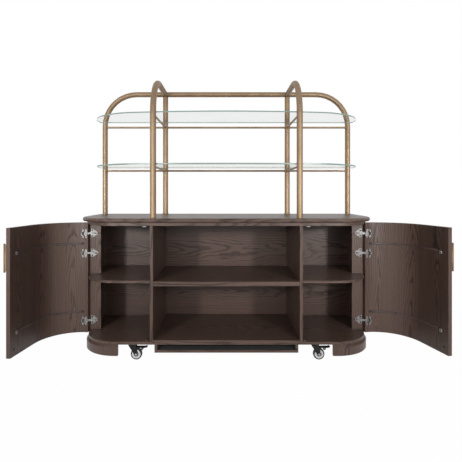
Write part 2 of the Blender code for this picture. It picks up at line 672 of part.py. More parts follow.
def make_hinge_arms(name, sign, material, parent):
    """The fixed halves of the hinges: a plate on the stile, a rising arm and an eye on the door axis."""
    outer_x = CORE_HALF_LENGTH + DOOR_GAP - HINGE_DOOR_CLEARANCE
    inner_x = outer_x - HINGE_PLATE_WIDTH
    shoulder_x = outer_x - HINGE_PLATE_WIDTH / 3
    back_y = STILE_FACE_Y - FIT_GAP
    plate_y = back_y - HINGE_PLATE_THICKNESS
    weld_y = plate_y + HINGE_PLATE_THICKNESS / 2
    neck_front_y = AXIS_Y - HINGE_NECK_THICKNESS / 2
    neck_back_y = AXIS_Y + HINGE_NECK_THICKNESS / 2
    arm_end_x = outer_x - FIT_GAP
    arm_outline = [
        (inner_x + HINGE_ARM_STEP, weld_y), (arm_end_x, weld_y), (arm_end_x, neck_back_y),
        (AXIS_X, neck_back_y), (AXIS_X, neck_front_y), (arm_end_x - HINGE_NECK_LENGTH, neck_front_y),
        (inner_x + HINGE_ARM_STEP, plate_y - HINGE_ARM_STEP)]
    half = HINGE_PLATE_HEIGHT / 2
    arm_half = HINGE_ARM_HEIGHT / 2
    for level, height in HINGE_HEIGHTS.items():
        outline = [
            (inner_x, height - arm_half), (shoulder_x, height - half), (outer_x, height - half),
            (outer_x, height + half), (shoulder_x, height + half), (inner_x, height + arm_half)]
        plate = upright_prism(mirrored(outline, sign), plate_y, back_y)
        hinge = make_object(name + "_" + level + "_hinge_arm", plate, material, parent)
        arm = prism(mirrored(arm_outline, sign), height - arm_half, height + arm_half)
        combine(hinge, arm, "UNION")
        middle = (sign * AXIS_X, AXIS_Y, height)
        eye = hinge_pin(middle, HINGE_EYE_RADIUS, HINGE_ARM_HEIGHT - FIT_GAP)
        combine(hinge, eye, "UNION")
        bore = hinge_pin(middle, HINGE_PIN_RADIUS + FIT_GAP, 2 * HINGE_ARM_HEIGHT)
        combine(hinge, bore, "DIFFERENCE")


def bend(centre, first, second, steps):
    """Points of a quarter bend from centre + first to centre + second."""
    points = []
    for k in range(steps + 1):
        turn = math.pi / 2 * k / steps
        points.append(Vector(centre) + Vector(first) * math.cos(turn) + Vector(second) * math.sin(turn))
    return points


def make_rack(bronze, parent):
    foot_z = TOP_SURFACE_Z + FIT_GAP
    radius = RACK_BEND_RADIUS
    bend_z = RACK_RAIL_Z - radius
    bend_x = RACK_OUTER_X - radius

    # Rear arch in two halves, which meet in the middle of the rail
    for name, sign in SIDES.items():
        path = [Vector((sign * RACK_OUTER_X, RACK_REAR_Y, foot_z))]
        path += bend((sign * bend_x, RACK_REAR_Y, bend_z), (sign * radius, 0, 0), (0, 0, radius), BEND_STEPS)
        path += [Vector((sign * FIT_GAP / 2, RACK_REAR_Y, RACK_RAIL_Z))]
        half = sweep(path, TUBE_RADIUS, TUBE_SIDES)
        make_object(name + "_rear_arch", half, bronze, parent, smooth=True)

    # Long rear rods, which pass through the inner rear posts
    rod_x = RACK_OUTER_X - TUBE_RADIUS - FIT_GAP
    for level, height in ROD_HEIGHTS.items():
        ends = [(-rod_x, RACK_REAR_Y, height), (rod_x, RACK_REAR_Y, height)]
        rod = sweep(ends, ROD_RADIUS, ROD_SIDES)
        make_object(level + "_rear_rod", rod, bronze, parent, smooth=True)

    post_top = RACK_RAIL_Z - TUBE_RADIUS - FIT_GAP
    run_end_y = RACK_REAR_Y - TUBE_RADIUS - FIT_GAP
    for name, sign in SIDES.items():
        x = sign * RACK_INNER_X
        post = sweep([(x, RACK_REAR_Y, foot_z), (x, RACK_REAR_Y, post_top)], TUBE_RADIUS, TUBE_SIDES)
        post_item = make_object(name + "_rear_post", post, bronze, parent, smooth=True)
        path = [Vector((x, RACK_FRONT_Y, foot_z))]
        path += bend((x, RACK_FRONT_Y + radius, bend_z), (0, -radius, 0), (0, 0, radius), BEND_STEPS)
        path += [Vector((x, run_end_y, RACK_RAIL_Z))]
        tube = sweep(path, TUBE_RADIUS, TUBE_SIDES)
        hoop = make_object(name + "_hoop", tube, bronze, parent, smooth=True)
        for height in ROD_HEIGHTS.values():
            hole_ends = [(x + step * TUBE_RADIUS, RACK_REAR_Y, height) for step in (-2, 2)]
            combine(post_item, sweep(hole_ends, ROD_RADIUS + FIT_GAP, ROD_SIDES), "DIFFERENCE")
            rod_ends = [(x, RACK_FRONT_Y, height), (x, run_end_y, height)]
            combine(hoop, sweep(rod_ends, ROD_RADIUS, ROD_SIDES), "UNION")
            pad_top = height + ROD_RADIUS + GLASS_PAD_HEIGHT - FIT_GAP
            for pad_y in (GLASS_FRONT_Y + GLASS_PAD_INSET, GLASS_FRONT_Y + GLASS_DEPTH - GLASS_PAD_INSET):
                pad = sweep([(x, pad_y, height), (x, pad_y, pad_top)], GLASS_PAD_RADIUS, ROD_SIDES)
                combine(hoop, pad, "UNION")


def make_glass(glass, parent):
    """Shelves that rest on the pads of the side rods, with large round front corners."""
    back_y = GLASS_FRONT_Y + GLASS_DEPTH
    outline = board_outline(GLASS_HALF_LENGTH, GLASS_FRONT_Y, back_y, GLASS_CORNER_RADIUS)
    for level, height in ROD_HEIGHTS.items():
        low = height + ROD_RADIUS + GLASS_PAD_HEIGHT
        shape = prism(outline, low, low + GLASS_THICKNESS)
        pane = make_object(level + "_glass_shelf", shape, glass, parent, smooth=True)
        ease_edges(pane)


def wheel_frame(place):
    """The wheel's turning axis along Y."""
    frame = Matrix.Rotation(-math.pi / 2, 4, "X")
    frame.translation = place
    return frame


def make_wheel(name, place, material, parent):
    half = WHEEL_WIDTH / 2
    hub = WHEEL_RADIUS - TYRE_THICKNESS
    bore = AXLE_RADIUS + AXLE_CLEARANCE
    shoulder = TYRE_THICKNESS / 2
    profile = [
        (bore, -half), (2 * bore, -half), (2 * bore, -half + HUB_SINK), (hub, -half + HUB_SINK),
        (hub, -half), (WHEEL_RADIUS - shoulder, -half), (WHEEL_RADIUS, -half + shoulder),
        (WHEEL_RADIUS, half - shoulder), (WHEEL_RADIUS - shoulder, half), (hub, half),
        (hub, half - HUB_SINK), (2 * bore, half - HUB_SINK), (2 * bore, half), (bore, half)]
    shape = turned(profile, ROUND_SIDES, wheel_frame(place))
    return make_object(name + "_wheel", shape, material, parent, origin=place, smooth=True)


def fork_side(swivel, axle):
    """Outline of a fork side in the XZ plane, from the crown down to the axle."""
    half = FORK_CROWN_HALF_LENGTH
    high = FORK_CROWN_Z + FORK_CROWN_THICKNESS
    foot = arc(axle, FORK_FOOT_RADIUS, FORK_FOOT_START, 0.0, FORK_FOOT_STEPS)
    return [(swivel + half, high), (swivel - half, high), (swivel - half, FORK_CROWN_Z)] + foot + [
        (swivel + half, FORK_CROWN_Z - FORK_CROWN_THICKNESS)]


def make_fork(name, swivel, trail, material, parent):
    """Two sides, a crown, a head up to the plate and the axle pin, welded together."""
    x, y = swivel
    half_gap = WHEEL_WIDTH / 2 + FORK_SIDE_GAP
    half = half_gap + FORK_THICKNESS
    axle = (x + trail, WHEEL_RADIUS)
    outline = fork_side(x, axle)
    crown_top = FORK_CROWN_Z + FORK_CROWN_THICKNESS
    crown_low = (x - FORK_CROWN_HALF_LENGTH, y - half_gap - FORK_THICKNESS / 2, FORK_CROWN_Z)
    crown_high = (x + FORK_CROWN_HALF_LENGTH, y + half_gap + FORK_THICKNESS / 2, crown_top)
    origin = (x, y, crown_top)
    near_side = upright_prism(outline, y - half, y - half_gap)
    fork = make_object(name + "_fork", near_side, material, parent, origin=origin)
    combine(fork, upright_prism(outline, y + half_gap, y + half), "UNION")
    combine(fork, box(crown_low, crown_high), "UNION")
    head_top = BOTTOM_Z - CASTER_PLATE_THICKNESS - 2 * FIT_GAP
    head_foot = crown_top - FORK_CROWN_THICKNESS / 2
    combine(fork, sweep([(x, y, head_foot), (x, y, head_top)], FORK_HEAD_RADIUS, TUBE_SIDES), "UNION")
    pin_half = half - FORK_THICKNESS / 2
    pin_ends = [(axle[0], y + step * pin_half, axle[1]) for step in (-1, 1)]
    combine(fork, sweep(pin_ends, AXLE_RADIUS, ROD_SIDES), "UNION")
    return fork


def make_plate(name, swivel, material, parent):
    x, y = swivel
    half = CASTER_PLATE_SIZE / 2
    high = BOTTOM_Z - FIT_GAP
    plate = box((x - half, y - half, high - CASTER_PLATE_THICKNESS), (x + half, y + half, high))
    return make_object(name + "_plate", plate, material, parent)


def make_pedal(name, swivel, material, parent):
    """A foot lever over the wheel, turning about a cross axis between the fork sides."""
    x, y = swivel
    half = WHEEL_WIDTH / 2 + FORK_SIDE_GAP - PEDAL_SIDE_GAP
    low = PEDAL_Z
    high = PEDAL_Z + PEDAL_THICKNESS
    start = x + PEDAL_PIVOT_X - PEDAL_THICKNESS
    tip = x + PEDAL_REACH
    outline = [
        (start, low), (tip - PEDAL_TIP_LENGTH, low), (tip, low + PEDAL_TIP_RISE),
        (tip, high + PEDAL_TIP_RISE), (tip - PEDAL_TIP_LENGTH, high), (start, high)]
    shape = upright_prism(outline, y - half, y + half)
    pivot = (x + PEDAL_PIVOT_X, y, (low + high) / 2)
    return make_object(name + "_pedal", shape, material, parent, origin=pivot)


def make_casters(materials, parent):
    for name in SIDES:
        front = (CASTER_PLACES_X[name], CASTER_FRONT_Y)
        front_name = name + "_front_caster"
        make_plate(front_name, front, materials["caster"], parent)
        make_fork(front_name, front, CASTER_TRAIL, materials["caster"], parent)
        wheel_place = Vector((front[0] + CASTER_TRAIL, front[1], WHEEL_RADIUS))
        make_wheel(front_name, wheel_place, materials["wheel"], parent)
        make_pedal(front_name, front, materials["caster"], parent)

        rear = (CASTER_PLACES_X[name], CASTER_REAR_Y)
        rear_name = name + "_rear_caster"
        bracket = make_fork(rear_name, rear, 0.0, materials["caster"], parent)
        bracket.name = rear_name + "_bracket"
        half = CASTER_PLATE_SIZE / 2
        high = BOTTOM_Z - FIT_GAP
        low = high - 2 * CASTER_PLATE_THICKNESS
        plate = box((rear[0] - half, rear[1] - half, low), (rear[0] + half, rear[1] + half, high))
        combine(bracket, plate, "UNION")
        make_wheel(rear_name, Vector((*rear, WHEEL_RADIUS)), materials["wheel"], parent)


def centre_on_floor(root):
    """Move the assembly so that the origin is under the middle of its bounding box."""
    graph = bpy.context.evaluated_depsgraph_get()
    corners = []
    for item in bpy.data.objects:
        if item.type == "MESH" and not item.hide_render:
            finished = item.evaluated_get(graph)
            corners += [item.matrix_world @ vertex.co for vertex in finished.data.vertices]
    for axis in (0, 1):
        values = [corner[axis] for corner in corners]
        root.location[axis] = -(min(values) + max(values)) / 2
    bpy.context.view_layer.update()


def main():
    clear_scene()
    materials = {
        "wood": make_material("dark_oak", (0.062, 0.043, 0.036), 0.42),
        "bronze": make_material("bronze_tube", (0.43, 0.31, 0.20), 0.30, metallic=1.0),
        "steel": make_material("straightener_steel", (0.16, 0.14, 0.13), 0.45, metallic=1.0),
        "nickel": make_material("hinge_nickel", (0.75, 0.72, 0.70), 0.28, metallic=1.0),
        "glass": make_material("shelf_glass", (0.86, 0.93, 0.90), 0.02, transmission=1.0),
        "caster": make_material("caster_black", (0.012, 0.012, 0.013), 0.40),
        "wheel": make_material("wheel_grey", (0.20, 0.20, 0.20), 0.55),
    }
    root = make_empty("cabinet")
    make_carcass(materials["wood"], root)
    make_door("left", SIDES["left"], LEFT_OPEN_ANGLE, materials, root)
    make_door("right", SIDES["right"], RIGHT_OPEN_ANGLE, materials, root)
    for name, sign in SIDES.items():
        make_hinge_arms(name, sign, materials["nickel"], root)
    make_rack(materials["bronze"], root)
    make_glass(materials["glass"], root)
    make_casters(materials, root)
    centre_on_floor(root)


main()
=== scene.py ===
"""Looks of a bar cabinet with curved doors, a tube rack and glass shelves, laid out as an add-on.

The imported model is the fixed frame. The operators give its nodes their finishes, model the fittings
that ride on its bodies, and set the stage.
"""

import json
import math

import bmesh
import bpy
from bpy.props import FloatProperty, FloatVectorProperty, PointerProperty
from mathutils import Matrix, Vector


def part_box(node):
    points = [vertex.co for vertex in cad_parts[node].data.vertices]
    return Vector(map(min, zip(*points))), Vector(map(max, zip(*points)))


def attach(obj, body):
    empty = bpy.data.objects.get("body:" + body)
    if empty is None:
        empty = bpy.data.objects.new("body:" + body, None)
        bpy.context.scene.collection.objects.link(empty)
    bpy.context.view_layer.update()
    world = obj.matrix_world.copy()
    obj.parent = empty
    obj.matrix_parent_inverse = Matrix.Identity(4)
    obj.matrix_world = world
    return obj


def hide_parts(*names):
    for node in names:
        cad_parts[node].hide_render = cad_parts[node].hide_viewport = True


bl_info = {
    "name": "Bar cabinet looks",
    "version": (1, 0, 0),
    "blender": (4, 5, 0),
    "location": "View3D > Sidebar > Cabinet",
    "description": "Finishes, fittings and stage for a bar cabinet with curved doors",
    "category": "Object",
}

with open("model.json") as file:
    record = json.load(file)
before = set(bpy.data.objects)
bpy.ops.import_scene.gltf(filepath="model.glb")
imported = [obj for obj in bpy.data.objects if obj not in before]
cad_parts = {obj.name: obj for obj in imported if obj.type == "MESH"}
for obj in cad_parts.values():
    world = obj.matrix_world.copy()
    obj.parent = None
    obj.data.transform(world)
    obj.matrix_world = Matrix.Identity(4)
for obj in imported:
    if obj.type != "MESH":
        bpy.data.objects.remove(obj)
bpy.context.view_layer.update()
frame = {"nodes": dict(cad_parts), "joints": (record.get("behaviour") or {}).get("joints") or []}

SIDES = {"left": -1, "right": 1}
ROWS = ("front", "rear")
HINGE_LEVELS = ("top", "middle", "bottom")
LEVELS = ("upper", "lower")
JOINTS = {joint["child"]: joint for joint in frame["joints"]}

FORWARDS = Vector((0.0, -1.0, 0.0))
BACKWARDS = Vector((0.0, 1.0, 0.0))
DOWN = Vector((0.0, 0.0, -1.0))
WHITE = (1.0, 1.0, 1.0, 1.0)

# Distance under which two places count as one, and the least part of a normal that looks along an axis
NEAR = 1e-5
ALONG = 0.9

# Plan of the carcass and of a closed door, read from the frame
SUB_TOP_LOW, SUB_TOP_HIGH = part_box("sub_top")
MIDDLE_X = (SUB_TOP_LOW.x + SUB_TOP_HIGH.x) / 2
CORE_HALF_LENGTH = (SUB_TOP_HIGH.x - SUB_TOP_LOW.x) / 2
CORE_FRONT_Y = SUB_TOP_LOW.y
CORNER_RADIUS = 0.194
DOOR_GAP = 0.003
DOOR_INNER_RADIUS = CORNER_RADIUS + DOOR_GAP
DOOR_INNER_Y = CORE_FRONT_Y - DOOR_GAP
ARC_CENTRE_X = CORE_HALF_LENGTH - CORNER_RADIUS
ARC_CENTRE_Y = CORE_FRONT_Y + CORNER_RADIUS

# Axes across the leaf, into the board and along the grain
BOARD_GRAIN = {"lying": "YZX", "backing": "ZYX", "upright": "XYZ", "sideways": "YXZ"}

# Finish of a node by a word in its name; other nodes are lying boards
NODE_FINISHES = {
    # Straightener bars get near-black steel, a painted shade for their grooves.
    "straightener": "groove_shade_steel", "hinge": "plated_nickel", "caster": "black_enamel",
    "hoop": "brushed_bronze", "post": "brushed_bronze", "arch": "brushed_bronze", "rod": "brushed_bronze",
    "handle": "brushed_bronze", "back_panel": "oak_backing", "stile": "oak_upright",
    "partition": "oak_sideways", "side_wall": "oak_sideways", "glass": "clear_glass"}


# Settings

def colour_setting(name, description, default):
    """A colour that a user can change."""
    return FloatVectorProperty(
        name=name, description=description, subtype="COLOR", size=4, min=0.0, max=1.0, default=default)


def length_setting(name, description, default):
    """A length that a user can change."""
    return FloatProperty(name=name, description=description, unit="LENGTH", default=default)


class OakSettings(bpy.types.PropertyGroup):
    """Stain and figure of the oak veneer"""

    dark: colour_setting("Dark stain", "Colour of the open early wood", (0.027, 0.0148, 0.0108, 1.0))
    light: colour_setting("Light stain", "Colour of the dense late wood", (0.108, 0.066, 0.052, 1.0))
    # The edge colour is partly rubbed wear and partly a painted highlight along edges.
    edge: colour_setting("Worn and highlighted edge", "Colour where the stain is rubbed thin and where edges get a painted highlight", (0.150, 0.100, 0.080, 1.0))
    ring_width: length_setting("Ring width", "Distance between two growth rings on the face", 0.0075)
    leaf_width: length_setting("Leaf width", "Width of one leaf of veneer", 0.27)
    roughness: FloatProperty(
        name="Roughness", description="Roughness of the satin lacquer", min=0.0, max=1.0, default=0.33)


class MetalSettings(bpy.types.PropertyGroup):
    """Colours of the tubes, hinges and casters"""

    bronze: colour_setting("Bronze", "Brushed bronze of the rack and handles", (0.300, 0.208, 0.128, 1.0))
    bronze_dark: colour_setting("Dark bronze", "Darker clouds in the bronze", (0.240, 0.160, 0.092, 1.0))
    nickel: colour_setting("Nickel", "Plated hinges", (0.27, 0.262, 0.256, 1.0))
    enamel: colour_setting("Black enamel", "Caster forks and pedals", (0.006, 0.006, 0.007, 1.0))


class FittingSettings(bpy.types.PropertyGroup):
    """Sizes of the small fittings"""

    screw_radius: length_setting("Screw radius", "Radius of a fixing screw's head", 0.0031)
    screw_height: length_setting("Screw height", "How far a screw's head stands proud", 0.0016)
    catch_length: length_setting("Catch length", "Depth of a door catch", 0.028)
    catch_width: length_setting("Catch width", "Width of a door catch", 0.017)
    catch_height: length_setting("Catch height", "How far a catch hangs down", 0.0065)
    catch_offset: length_setting("Catch offset", "Distance of the catches from the middle", 0.429)
    block_size: length_setting("Adjuster size", "Side of a door straightener's adjuster block", 0.015)
    weld_radius: length_setting("Weld radius", "Radius of the weld bead at the end of a rod", 0.0082)


class StageSettings(bpy.types.PropertyGroup):
    """Camera, lamps and floor"""

    camera_distance: length_setting("Camera distance", "Distance of the lens from the front edge", 2.0745)
    camera_height: length_setting("Camera height", "Height of the lens", 0.884)
    lens: FloatProperty(name="Lens", description="Focal length in millimetres", default=31.169)
    lamp_power: FloatProperty(
        name="Lamp power", description="Power of each side lamp in watts", default=4.7)
    front_power: FloatProperty(
        name="Front power", description="Power of the wide lamp behind the camera in watts", default=20.0)
    lamp_spread: FloatProperty(
        name="Lamp spread", description="Opening angle of each side lamp", subtype="ANGLE",
        default=math.radians(60))
    fill: FloatProperty(
        name="Fill", description="Strength of the even light from all around", default=0.36)


# Shader node helpers

def add_node(tree, kind, inputs=None, **choices):
    """Add a shader node, set its choices, and set or link its inputs."""
    node = tree.nodes.new("ShaderNode" + kind)
    for name, value in choices.items():
        setattr(node, name, value)
    for key, value in (inputs or {}).items():
        if isinstance(value, bpy.types.NodeSocket):
            tree.links.new(value, node.inputs[key])
        else:
            node.inputs[key].default_value = value
    return node


def calc(tree, operation, *values):
    """The result of a Math node."""
    return add_node(tree, "Math", dict(enumerate(values)), operation=operation).outputs[0]


def times_plus(tree, value, factor, added):
    """A value times a factor, with something added."""
    return calc(tree, "MULTIPLY_ADD", value, factor, added)


def hypotenuse(tree, first, second):
    """The long side of a right triangle."""
    squares = [calc(tree, "POWER", side, 2.0) for side in (first, second)]
    return calc(tree, "SQRT", calc(tree, "ADD", *squares))


def ease(tree, value, start, end, low=0.0, high=1.0):
    """A value eased from the range start to end into the range low to high."""
    inputs = {"Value": value, "From Min": start, "From Max": end, "To Min": low, "To Max": high}
    return add_node(tree, "MapRange", inputs, interpolation_type="SMOOTHSTEP").outputs[0]


def noise(tree, vector, scale, detail=2.0, roughness=0.5):
    """A soft noise value between about 0.2 and 0.8."""
    inputs = {"Vector": vector, "Scale": scale, "Detail": detail, "Roughness": roughness}
    return add_node(tree, "TexNoise", inputs).outputs[0]


def stretched_noise(tree, vector, factors, detail=2.0, roughness=0.5):
    """Noise with its own number of waves in a metre along each axis."""
    stretched = add_node(tree, "VectorMath", {0: vector, 1: factors}, operation="MULTIPLY").outputs[0]
    return noise(tree, stretched, 1.0, detail, roughness)


def blend(tree, factor, first, second):
    """Two colours mixed by a factor."""
    inputs = {0: factor, 6: first, 7: second}
    return add_node(tree, "Mix", inputs, data_type="RGBA").outputs[2]


def object_coords(tree):
    """Object coordinates, which are the model's own metres."""
    return add_node(tree, "TexCoord").outputs["Object"]


def new_group(name, inputs, outputs):
    """An empty node group with named sockets: its tree, what comes in, and what goes out."""
    tree = bpy.data.node_groups.new(name, "ShaderNodeTree")
    for way, sockets in (("INPUT", inputs), ("OUTPUT", outputs)):
        for socket, kind in sockets.items():
            tree.interface.new_socket(socket, in_out=way, socket_type="NodeSocket" + kind)
    return tree, tree.nodes.new("NodeGroupInput").outputs, tree.nodes.new("NodeGroupOutput").inputs


def use_group(tree, name, inputs):
    """Place a node group in a material and return what it puts out."""
    return add_node(tree, "Group", inputs, node_tree=bpy.data.node_groups[name]).outputs


def new_material(name, **constants):
    """A material with a Principled shader whose plain sockets are set: its tree and its shader."""
    material = bpy.data.materials.new(name)
    material.use_nodes = True
    shader = material.node_tree.nodes["Principled BSDF"]
    for socket, value in constants.items():
        shader.inputs[socket.replace("_", " ").title().replace("Ior", "IOR")].default_value = value
    return material.node_tree, shader


def add_bump(tree, shader, height, strength, distance):
    """Let a height value raise the surface."""
    bump = add_node(tree, "Bump", {"Height": height, "Strength": strength, "Distance": distance})
    tree.links.new(bump.outputs[0], shader.inputs["Normal"])


# Shared effects

def make_oak_group():
    """Flat-cut oak: X runs across the leaf, Y into the board, Z along the grain."""
    wander_width = 0.075
    board_slant = 0.35
    leaf_shift = 1.1
    heart_slope = 0.055
    heart_wander = 0.05
    raggedness = 0.55
    pore_fade = -0.7
    pore_value = 0.42
    pore_strength = 0.6
    ring_tone = 0.42
    streak_tone = 0.62
    cloud_tone = 0.5
    pore_roughness = 0.16
    streak_roughness = 0.08
    tree, given, result = new_group(
        "oak_figure",
        {"Vector": "Vector", "Dark": "Color", "Light": "Color", "Ring Width": "Float",
         "Leaf Width": "Float", "Roughness": "Float"},
        {"Color": "Color", "Roughness": "Float", "Height": "Float"})
    vector = given["Vector"]
    parts = add_node(tree, "SeparateXYZ", {0: vector}).outputs
    wander = stretched_noise(tree, vector, (5.0, 5.0, 1.4))
    across = times_plus(tree, wander, wander_width, parts["X"])
    across = times_plus(tree, parts["Y"], board_slant, across)
    leaves = calc(tree, "DIVIDE", across, given["Leaf Width"])
    leaf_number = calc(tree, "FLOOR", leaves)
    leaf_chance = add_node(tree, "TexWhiteNoise", {"W": leaf_number}, noise_dimensions="1D").outputs[0]
    from_heart = calc(tree, "SUBTRACT", calc(tree, "FRACT", leaves), 0.5)
    from_heart = calc(tree, "MULTIPLY", from_heart, given["Leaf Width"])
    slow = stretched_noise(tree, vector, (9.0, 9.0, 2.2), 3.0)
    along = times_plus(tree, leaf_chance, leaf_shift, parts["Z"])
    lift = times_plus(tree, along, heart_slope, calc(tree, "MULTIPLY", slow, heart_wander))
    rings = calc(tree, "DIVIDE", hypotenuse(tree, from_heart, lift), given["Ring Width"])
    ragged = stretched_noise(tree, vector, (70.0, 70.0, 7.0), 3.0, 0.6)
    ring = calc(tree, "FRACT", times_plus(tree, ragged, raggedness, rings))
    late_wood = calc(tree, "MULTIPLY", ease(tree, ring, 0.02, 0.55), ease(tree, ring, 1.0, 0.86))
    pore_field = ease(tree, stretched_noise(tree, vector, (900.0, 900.0, 45.0), 1.0), 0.50, 0.66)
    pores = calc(tree, "MULTIPLY", pore_field, times_plus(tree, late_wood, pore_fade, 1.0))
    streak = stretched_noise(tree, vector, (55.0, 55.0, 1.6), 3.0, 0.6)
    cloud = stretched_noise(tree, vector, (2.4, 2.4, 1.2))
    tone = times_plus(tree, late_wood, ring_tone, calc(tree, "MULTIPLY", streak, streak_tone))
    tone = ease(tree, times_plus(tree, cloud, cloud_tone, tone), 0.34, 0.98)
    stained = blend(tree, tone, given["Dark"], given["Light"])
    open_pore = add_node(tree, "HueSaturation", {"Value": pore_value, "Color": given["Dark"]}).outputs[0]
    coloured = blend(tree, calc(tree, "MULTIPLY", pores, pore_strength), stained, open_pore)
    tree.links.new(coloured, result["Color"])
    rough = times_plus(tree, pores, pore_roughness, given["Roughness"])
    tree.links.new(times_plus(tree, streak, streak_roughness, rough), result["Roughness"])
    tree.links.new(times_plus(tree, pores, pore_fade, late_wood), result["Height"])


def make_metal_group():
    """Brushed metal with soft clouds and fine scratches."""
    tree, given, result = new_group(
        "brushed_metal",
        {"Vector": "Vector", "Base": "Color", "Cloud": "Color", "Roughness": "Float"},
        {"Color": "Color", "Roughness": "Float", "Height": "Float"})
    vector = given["Vector"]
    cloud = noise(tree, vector, 6.0, 3.0)
    grit = noise(tree, vector, 650.0, 3.0, 0.7)
    brush = stretched_noise(tree, vector, (300.0, 300.0, 2600.0))
    tone = ease(tree, times_plus(tree, grit, 0.10, cloud), 0.38, 0.80)
    tree.links.new(blend(tree, tone, given["Base"], given["Cloud"]), result["Color"])
    rough = times_plus(tree, brush, 0.14, given["Roughness"])
    tree.links.new(times_plus(tree, cloud, 0.06, rough), result["Roughness"])
    tree.links.new(times_plus(tree, brush, 0.6, grit), result["Height"])


def make_edge_group():
    """A mask that is one along edges, where a finish is rubbed and where a highlight is painted."""
    tree, given, result = new_group("edge_wear_and_highlight", {"Vector": "Vector", "Radius": "Float"}, {"Mask": "Float"})
    rounded = add_node(tree, "Bevel", {"Radius": given["Radius"]}, samples=4).outputs[0]
    flat = add_node(tree, "NewGeometry").outputs["Normal"]
    likeness = add_node(tree, "VectorMath", {0: rounded, 1: flat}, operation="DOT_PRODUCT").outputs["Value"]
    edge = ease(tree, likeness, 0.995, 0.86)
    patches = ease(tree, noise(tree, given["Vector"], 34.0, 3.0), 0.32, 0.62)
    tree.links.new(calc(tree, "MULTIPLY", edge, patches), result["Mask"])


def make_dust_group():
    """A faint mask of dust and handling marks for smooth surfaces."""
    tree, given, result = new_group(
        "handling_marks", {"Vector": "Vector"}, {"Mask": "Float", "Grain": "Float", "Smear": "Float"})
    smear = stretched_noise(tree, given["Vector"], (6.0, 9.0, 6.0), 4.0, 0.6)
    grain = noise(tree, given["Vector"], 420.0, 3.0, 0.65)
    wiped = ease(tree, smear, 0.42, 0.75)
    tree.links.new(wiped, result["Smear"])
    tree.links.new(calc(tree, "MULTIPLY", wiped, grain), result["Mask"])
    tree.links.new(grain, result["Grain"])


# Materials

def board_grain(tree, order):
    """The grain of a flat board, by the order of its axes."""
    axes = add_node(tree, "SeparateXYZ", {0: object_coords(tree)}).outputs
    turned = add_node(tree, "CombineXYZ", {index: axes[axis] for index, axis in enumerate(order)})
    return turned.outputs[0]


def wrapped_grain(tree, place, origin, side, oak):
    """Upright grain on a leaf wrapped round the bend of one side, at places measured from an origin."""
    sign = SIDES[side]
    heart_place = DOOR_INNER_RADIUS * math.radians(50)
    narrowing = 1.5
    edge_spread = 3.0
    side_shift = 0.37
    axes = add_node(tree, "SeparateXYZ", {0: place}).outputs
    outwards = times_plus(tree, axes["X"], float(sign), sign * (origin.x - MIDDLE_X) - ARC_CENTRE_X)
    forwards = times_plus(tree, axes["Y"], -1.0, ARC_CENTRE_Y - origin.y)
    bend = calc(tree, "MAXIMUM", outwards, 0.0)
    turn = calc(tree, "ARCTAN2", bend, forwards)
    across = times_plus(tree, turn, DOOR_INNER_RADIUS, calc(tree, "MINIMUM", outwards, 0.0))
    across = times_plus(tree, across, narrowing, oak.leaf_width / 2 - heart_place * narrowing)
    depth = calc(tree, "SUBTRACT", hypotenuse(tree, bend, forwards), DOOR_INNER_RADIUS)
    across = times_plus(tree, depth, edge_spread, across)
    return add_node(tree, "CombineXYZ", {0: across, 1: side_shift * sign, 2: axes["Z"]}).outputs[0]


def door_grain(tree, side, oak):
    """The grain of a curved door, read where the door lies when it is closed."""
    joint = JOINTS[side + "_door"]
    pivot = Vector(joint["pos_m"])
    swing = -math.radians(joint["range_deg"][1]) * joint["axis"][2]
    inputs = {
        "Vector": object_coords(tree), "Location": (pivot.x, pivot.y, 0.0), "Rotation": (0.0, 0.0, swing)}
    closed = add_node(tree, "Mapping", inputs, vector_type="TEXTURE").outputs[0]
    return wrapped_grain(tree, closed, pivot, side, oak)


def skirt_grain(tree, side, oak):
    """The grain of a curved skirt."""
    return wrapped_grain(tree, object_coords(tree), Vector(), side, oak)


def make_oak(name, oak, grain, *choices):
    """Stained oak with its figure laid out by a grain function and its choices."""
    oak_wear_highlight_radius = 0.0016
    oak_wear_highlight_share = 0.35
    tree, shader = new_material(name, specular_ior_level=0.32)
    figure = use_group(tree, "oak_figure", {
        "Vector": grain(tree, *choices), "Dark": oak.dark, "Light": oak.light,
        "Ring Width": oak.ring_width, "Leaf Width": oak.leaf_width, "Roughness": oak.roughness})
    mask = use_group(tree, "edge_wear_and_highlight", {"Vector": object_coords(tree), "Radius": oak_wear_highlight_radius})["Mask"]
    # Edges are lightened by rubbed wear and by a painted highlight.
    worn_and_highlighted = blend(tree, calc(tree, "MULTIPLY", mask, oak_wear_highlight_share), figure["Color"], oak.edge)
    tree.links.new(worn_and_highlighted, shader.inputs["Base Color"])
    tree.links.new(figure["Roughness"], shader.inputs["Roughness"])
    add_bump(tree, shader, figure["Height"], strength=0.35, distance=0.0003)


def make_metal(name, base, cloud, metallic, roughness, edge=None, edge_wear_highlight_share=0.5, **constants):
    """A metal with brushed clouds and, where asked, edges lightened by rubbing and by a painted highlight."""
    metal_wear_highlight_radius = 0.0011
    tree, shader = new_material(name, metallic=metallic, **constants)
    coords = object_coords(tree)
    brushed = use_group(tree, "brushed_metal", {
        "Vector": coords, "Base": base, "Cloud": cloud, "Roughness": roughness})
    colour = brushed["Color"]
    if edge:
        mask = use_group(tree, "edge_wear_and_highlight", {"Vector": coords, "Radius": metal_wear_highlight_radius})["Mask"]
        colour = blend(tree, calc(tree, "MULTIPLY", mask, edge_wear_highlight_share), colour, edge)
    tree.links.new(colour, shader.inputs["Base Color"])
    tree.links.new(brushed["Roughness"], shader.inputs["Roughness"])
    add_bump(tree, shader, brushed["Height"], strength=0.06, distance=0.0001)


